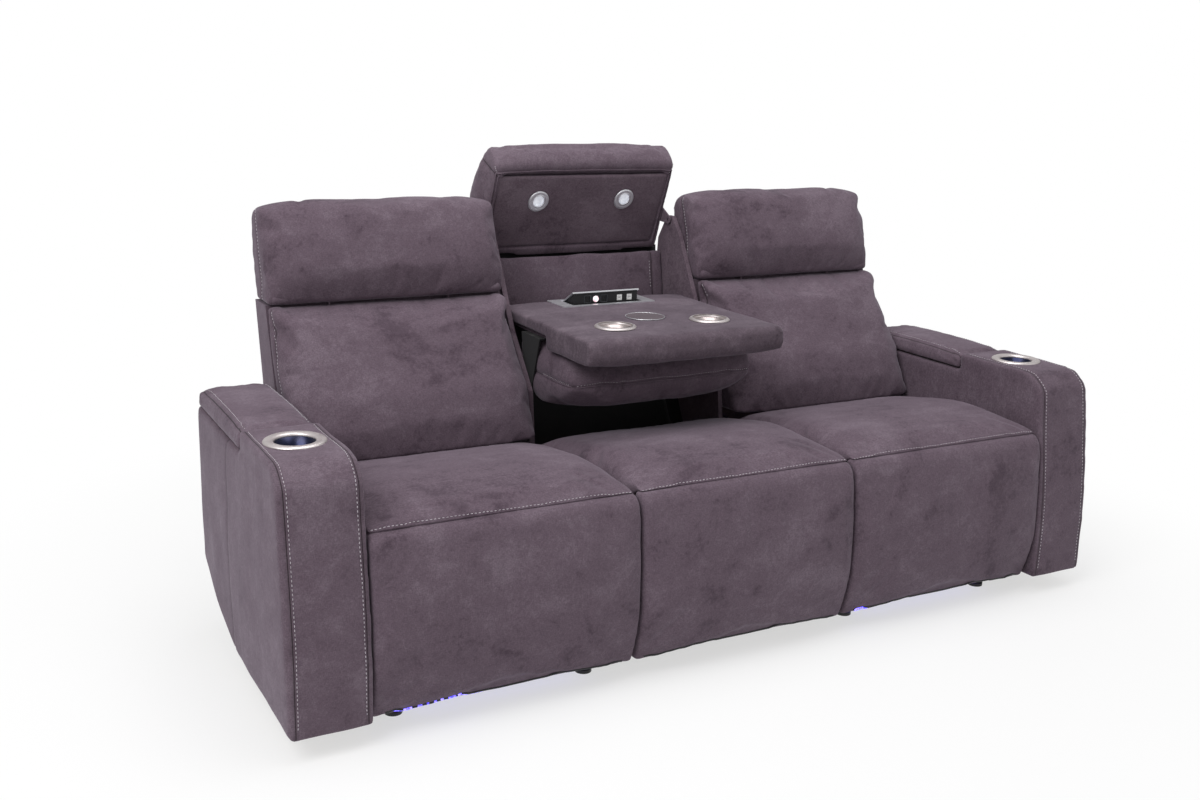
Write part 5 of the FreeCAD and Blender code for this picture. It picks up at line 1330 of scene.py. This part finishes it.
def turned(profile, steps, closed=True, weld=WELD):
    """A form turned from a chain of (radius, height) points."""
    bm = bmesh.new()
    chain = [bm.verts.new((radius, 0.0, height)) for radius, height in profile]
    ends = chain[1:] + chain[:1] if closed else chain[1:]
    edges = [bm.edges.new(pair) for pair in zip(chain, ends)]
    full_turn(bm, chain + edges, steps, weld)
    return bm


def spun(name, profile, place, body, material):
    bm = turned(profile, 96, closed=False, weld=0.00001)
    bmesh.ops.translate(bm, vec=place, verts=bm.verts)
    return add_piece(name, to_mesh(name, bm), material, body)


def cup(name, place, bore, ring, depth, body, wall):
    """Ring and wall of one cup. place is the middle of the ring's underside."""
    r, w = bore / 2, ring / 2
    ring_profile = [(r + 0.0006, -0.004), (r - 0.0002, -0.001), (r + 0.0004, 0.0016), (r + 0.0022, 0.0036),
                    (r + 0.006, 0.005), (w - 0.011, 0.0058), (w - 0.005, 0.0051), (w - 0.0015, 0.0034),
                    (w, 0.0012), (w, 0.0), (w - 0.001, 0.0), (r + 0.003, 0.0), (r + 0.0006, -0.004)]
    wall_profile = [(0.0, -depth + 0.0015), (r * 0.6, -depth + 0.0015), (r - 0.008, -depth + 0.0022),
                    (r - 0.0028, -depth + 0.005), (r - 0.0012, -depth + 0.011), (r, -0.002),
                    (r + 0.0012, -0.002), (r + 0.0012, -depth + 0.01), (r - 0.004, -depth + 0.001),
                    (r - 0.01, -depth), (0.0, -depth)]
    made = spun(name + "_ring", ring_profile, place, body, CUP_RING)
    spun(name + "_wall", wall_profile, place, body, wall)
    return made


RING_GAP = 0.0003
ARM_CUP_Y, ARM_CUP_Z = -0.307, 0.612 + RING_GAP
TRAY_CUP_X, TRAY_CUP_Y, TRAY_CUP_Z = 0.142, -0.073, 0.747 + RING_GAP
for side, sign in SIDES:
    ring = cup(f"{side}_arm_cup", (sign * abs(ARM), ARM_CUP_Y, ARM_CUP_Z), 0.088, 0.133, 0.076,
               "sofa_base", CUP_INSIDE)
    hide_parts("arm_cup_holders")
    ring = cup(f"{side}_tray_cup", (sign * TRAY_CUP_X, TRAY_CUP_Y, TRAY_CUP_Z), 0.087, 0.108, 0.058,
               "console", CUP_BRIGHT)
    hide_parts("tray_cup_holders")


def touch_marks(name, middle, body):
    """Three shallow discs let into the front of a cup's ring, as touch buttons are."""
    bm = bmesh.new()
    for turn in (-0.35, 0.0, 0.35):
        spot = Vector(middle) + Vector((0.0575 * math.sin(turn), -0.0575 * math.cos(turn), 0.0053))
        grown = bmesh.ops.create_cone(bm, segments=20, radius1=0.0021, radius2=0.0019, depth=0.0008,
                                      cap_ends=True, matrix=Matrix.Translation(spot))
        top = [f for f in bm.faces if f.normal.z > 0.9 and all(v in grown["verts"] for v in f.verts)]
        bmesh.ops.inset_individual(bm, faces=top, thickness=0.0006, depth=-0.0003)
    add_piece(name, to_mesh(name, bm), BRIGHT_STEEL, body)


for side, sign in SIDES:
    touch_marks(f"{side}_cup_marks", (sign * abs(ARM), ARM_CUP_Y, ARM_CUP_Z), "sofa_base")
print("cup holders turned")

# %% [markdown]
# The pop-up outlet strip is small but in the middle of the table. Its plates come from the
# solid model; here it gets what a close look shows: two mains sockets with their grey
# surrounds and contact holes, and a ring round the lit button.

# %% Outlet strip, ports and button
FACE_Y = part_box("outlet_face")[0].y
BUTTON_LOW, BUTTON_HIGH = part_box("outlet_button")
BUTTON_X = (BUTTON_LOW.x + BUTTON_HIGH.x) / 2
ROW_Z = (BUTTON_LOW.z + BUTTON_HIGH.z) / 2


def bevelled_box(bm, centre, size, bevel):
    placed = Matrix.Translation(centre) @ Matrix.Diagonal((*size, 1))
    grown = bmesh.ops.create_cube(bm, size=1.0, matrix=placed)
    edges = list({e for v in grown["verts"] for e in v.link_edges})
    bmesh.ops.bevel(bm, geom=edges, offset=bevel, offset_type="OFFSET", segments=2, profile=0.5,
                    affect="EDGES", material=-1)


def face_detail(name, boxes, body, material, bevel=0.0004):
    bm = bmesh.new()
    for centre, size in boxes:
        bevelled_box(bm, centre, size, bevel)
    piece = show(name, to_mesh(name, bm), material)
    for polygon in piece.data.polygons:
        polygon.use_smooth = False
    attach(piece, body)
    return piece


SOCKET_REACH = 0.0098
FRAME_Y, HOLE_Y = FACE_Y + 0.0001, FACE_Y + 0.0024
frames, slots = [], []
for x in (BUTTON_X - 0.026, BUTTON_X + 0.026):
    for shift in (-SOCKET_REACH, SOCKET_REACH):
        frames.append(((x + shift, FRAME_Y, ROW_Z), (0.0012, 0.0016, 0.021)))
    for shift in (-SOCKET_REACH, SOCKET_REACH):
        frames.append(((x, FRAME_Y, ROW_Z + shift), (0.0208, 0.0016, 0.0012)))
    slots += [((x - 0.0036, HOLE_Y, ROW_Z + 0.0022), (0.0016, 0.0008, 0.0062)),
              ((x + 0.0036, HOLE_Y, ROW_Z + 0.0022), (0.0014, 0.0008, 0.0052)),
              ((x, HOLE_Y, ROW_Z - 0.0052), (0.0036, 0.0008, 0.0034))]
face_detail("socket_frames", frames, "outlet_flap", SOCKET_EDGE)
# Near-black boxes in the contact holes: painted shade inside the openings.
SLOT_SHADE = hard_finish("painted shade in socket holes", (0.003, 0.003, 0.0035), (0.12, 0.11, 0.09), 0.7, dust=0.0)
face_detail("socket_holes", slots, "outlet_flap", SLOT_SHADE, 0.0002)


def ring_round(name, centre, radius, thick, body, material):
    """A round wire ring facing forward, made as a small circle swept a full turn."""
    bm = bmesh.new()
    upright = Matrix.Translation((radius, 0, 0)) @ Matrix.Rotation(math.pi / 2, 4, "X")
    section = bmesh.ops.create_circle(bm, segments=10, radius=thick, matrix=upright)
    full_turn(bm, section["verts"] + list(bm.edges), 48)
    bmesh.ops.rotate(bm, cent=(0, 0, 0), matrix=Matrix.Rotation(math.pi / 2, 3, "X"), verts=bm.verts)
    bmesh.ops.translate(bm, vec=centre, verts=bm.verts)
    add_piece(name, to_mesh(name, bm), material, body)


ring_round("button_ring", (BUTTON_X, FACE_Y - 0.0002, ROW_Z), 0.0088, 0.0006, "outlet_flap", SILVER)
print("outlet strip dressed")

# %% [markdown]
# A flat silver ring with bevelled edges lies round the charging pad.

# %% Charging pad ring
def flat_ring(name, place, inner, outer, thick, body, material):
    bm = turned(((inner, 0.0), (inner + 0.0006, thick), (outer - 0.0006, thick), (outer, 0.0)), 96)
    bmesh.ops.translate(bm, vec=place, verts=bm.verts)
    add_piece(name, to_mesh(name, bm), material, body)


pad_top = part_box("charging_pad")[1].z
flat_ring("charging_pad_ring", (0, 0.02, pad_top - 0.0012), 0.0505, 0.0534, 0.0016, "console", SILVER)
print("charging pad ring at", round(pad_top, 4))

# %% [markdown]
# Each reading light has a wide satin ring with a stepped lip, which is what the eye sees from
# the front. It is spun flat and then tipped, so that it lies on the leaning panel.

# %% Rings of the reading lights
LENS_LOW, LENS_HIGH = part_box("reading_light_lenses")
LIGHT_X = 0.137
LIGHT_Y, LIGHT_Z = LENS_LOW.y, (LENS_LOW.z + LENS_HIGH.z) / 2
print("reading lights at", round(LIGHT_X, 4), round(LIGHT_Y, 4), round(LIGHT_Z, 4))


def light_ring(name, x):
    profile = [(0.0165, 0.0), (0.0168, 0.0022), (0.0185, 0.003), (0.0192, 0.0022), (0.024, 0.003),
               (0.0285, 0.0034), (0.0305, 0.0022), (0.031, 0.0)]
    bm = turned(profile, 72)
    up, _ = on_visor(np.array([[x, LIGHT_Y, LIGHT_Z]]))
    middle = Vector(on_face(x, float(up[0]), 0.0022))
    forward = Vector((0.0, -VISOR_ALONG[1], VISOR_ALONG[0]))
    turn = Vector((0, 0, 1)).rotation_difference(forward).to_matrix().to_4x4()
    bmesh.ops.transform(bm, matrix=Matrix.Translation(middle) @ turn, verts=bm.verts)
    add_piece(name, to_mesh(name, bm), SILVER, "centre_headrest")


for side, sign in SIDES:
    light_ring(f"{side}_light_ring", sign * LIGHT_X)

# %% [markdown]
# Along the lower front edge of the front panels runs a thin black channel that carries the
# floor lighting. Two lengths of it shine blue: most of the left seat's outer half, and a
# short piece near the inner side of the right one.

# %% Light channels under the front panels
def channel(name, low_x, high_x, body, host, material, radius, lift=0.0):
    """A round strip let along the lower front edge of a panel."""
    guide = [(x, -0.56, 0.012 - lift) for x in (low_x, (low_x + high_x) / 2, high_x)]
    piping(name, guide, radius, body, pieces[host], material, lift=radius * 0.2, step=0.012)


for side, sign in SIDES:
    middle = sign * abs(END_SEAT)
    channel(f"{side}_light_channel", middle - 0.29, middle + 0.29, f"{side}_footrest", f"{side}_panel_cover",
            BLACK_PLASTIC, 0.0026)
channel("middle_light_channel", -0.285, 0.285, "sofa_base", "middle_panel_cover",
        BLACK_PLASTIC, 0.0026)
channel("left_light_lens", END_SEAT - 0.28, END_SEAT - 0.06, "left_footrest", "left_panel_cover",
        BLUE_LIGHT, 0.0026, 0.0006)
channel("right_light_lens", -END_SEAT - 0.286, -END_SEAT - 0.245, "right_footrest", "right_panel_cover",
        BLUE_LIGHT, 0.0034, 0.0006)
print("light strips laid")

# %% [markdown]
# A sofa's hollow back is closed with a thin black dust cloth. Here it hangs behind the
# folding table, stapled to the upper rail and to the foot of the cheeks, and bellies out to
# the rear. It is a small grid of cloth, laid along its hanging line and given its thickness.
# Two thin side boards close the room between the cheeks and the edges of the cloth.

# %% Dust cloth behind the table
CLOTH_LINE = [(0.478, 0.868), (0.4715, 0.80), (0.470, 0.745), (0.463, 0.66), (0.44, 0.555),
              (0.395, 0.43), (0.33, 0.31), (0.262, 0.2), (0.19, 0.118)]
CLOTH_WIDTH = 0.6


def dust_cloth():
    chain = np.array(CLOTH_LINE)
    lengths = np.r_[0.0, np.cumsum(np.linalg.norm(np.diff(chain, axis=0), axis=1))]
    bm = bmesh.new()
    bmesh.ops.create_grid(bm, x_segments=30, y_segments=48, size=0.5)
    for vertex in bm.verts:
        share_x, share_y = vertex.co.x, vertex.co.y + 0.5
        at = share_y * lengths[-1]
        y, z = np.interp(at, lengths, chain[:, 0]), np.interp(at, lengths, chain[:, 1])
        slack = 4 * share_y * (1 - share_y) * (1 - 4 * share_x * share_x)
        ripple = 0.003 * math.sin(share_x * 34 + 3 * share_y) * slack
        vertex.co = (share_x * CLOTH_WIDTH, y + 0.006 * slack + ripple, z)
    relax(bm, [v for v in bm.verts if not v.is_boundary], 3)
    bmesh.ops.recalc_face_normals(bm, faces=bm.faces)
    bmesh.ops.solidify(bm, geom=list(bm.faces), thickness=0.0008)
    piece = add_piece("dust_cloth", to_mesh("dust_cloth", bm), BLACK_CLOTH_AND_SHADE, "sofa_base")


dust_cloth()


def cloth_sides():
    """Thin boards that fill the room between the cheeks' rear edges and the cloth's sides."""
    cheek_edge = [(0.116, 0.112), (0.242, 0.325), (0.458, 0.728)]
    outline = [(y - 0.002, z) for y, z in CLOTH_LINE if z < 0.7]
    bm = bmesh.new()
    for sign in (-1, 1):
        corners = [bm.verts.new((sign * 0.2972, y, z)) for y, z in cheek_edge + outline]
        grown = bmesh.ops.extrude_face_region(bm, geom=[bm.faces.new(corners)])
        moved = [v for v in grown["geom"] if isinstance(v, bmesh.types.BMVert)]
        bmesh.ops.translate(bm, vec=(sign * 0.0024, 0, 0), verts=moved)
    bmesh.ops.recalc_face_normals(bm, faces=bm.faces)
    piece = show("cloth_side_boards", to_mesh("cloth_side_boards", bm), BLACK_CLOTH_AND_SHADE)
    for polygon in piece.data.polygons:
        polygon.use_smooth = False
    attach(piece, "sofa_base")


cloth_sides()
print("dust cloth hung")

# %% [markdown]
# The rest of the solids already have the right shape, so they only get better materials.
# Each node's slots are matched to a finish by the name that the record gave the slot. A few
# frames and boards that the picture shows upholstered get plain suede instead. The middle
# cheeks and the headrest's arms get the suede painted lighter against their shade, and the
# console arms get the black lining cloth as painted shade of the dark hollow beside the table.

# %% Finishes of the solids that stay
FINISHES = {
    "wood": WOOD, "black_steel": BLACK_STEEL, "bright_steel": BRIGHT_STEEL, "cup_metal": CUP_RING,
    "silver_trim": SILVER, "black_plastic": BLACK_PLASTIC, "white_plastic": WHITE_PLASTIC,
    "charger": CHARGER_TOP, "lit_button": BUTTON_LIGHT, "diffuser": DIFFUSER,
    "blue_light": BLUE_LIGHT, "upholstery": SUEDE_PLAIN, "panel_upholstery": SUEDE_LIFTED_IN_SHADE,
}
# The console arms' black cloth is painted shade; the cheeks' and headrest arms' suede is painted lighter
# against shade.
COVERED = {
    "left_back_frame": SUEDE_PLAIN, "right_back_frame": SUEDE_PLAIN, "tray_board": SUEDE_PLAIN,
    "centre_back_frame": SUEDE_LIFTED_IN_SHADE, "console_arms": BLACK_CLOTH_AND_SHADE, "centre_headrest_arms": SUEDE_LIFTED_IN_SHADE,
}
for name, node in NODES.items():
    for place_in in node.material_slots:
        place_in.material = COVERED.get(name) or FINISHES[place_in.material.name.split(".")[0]]
print("finished nodes:", len(NODES))
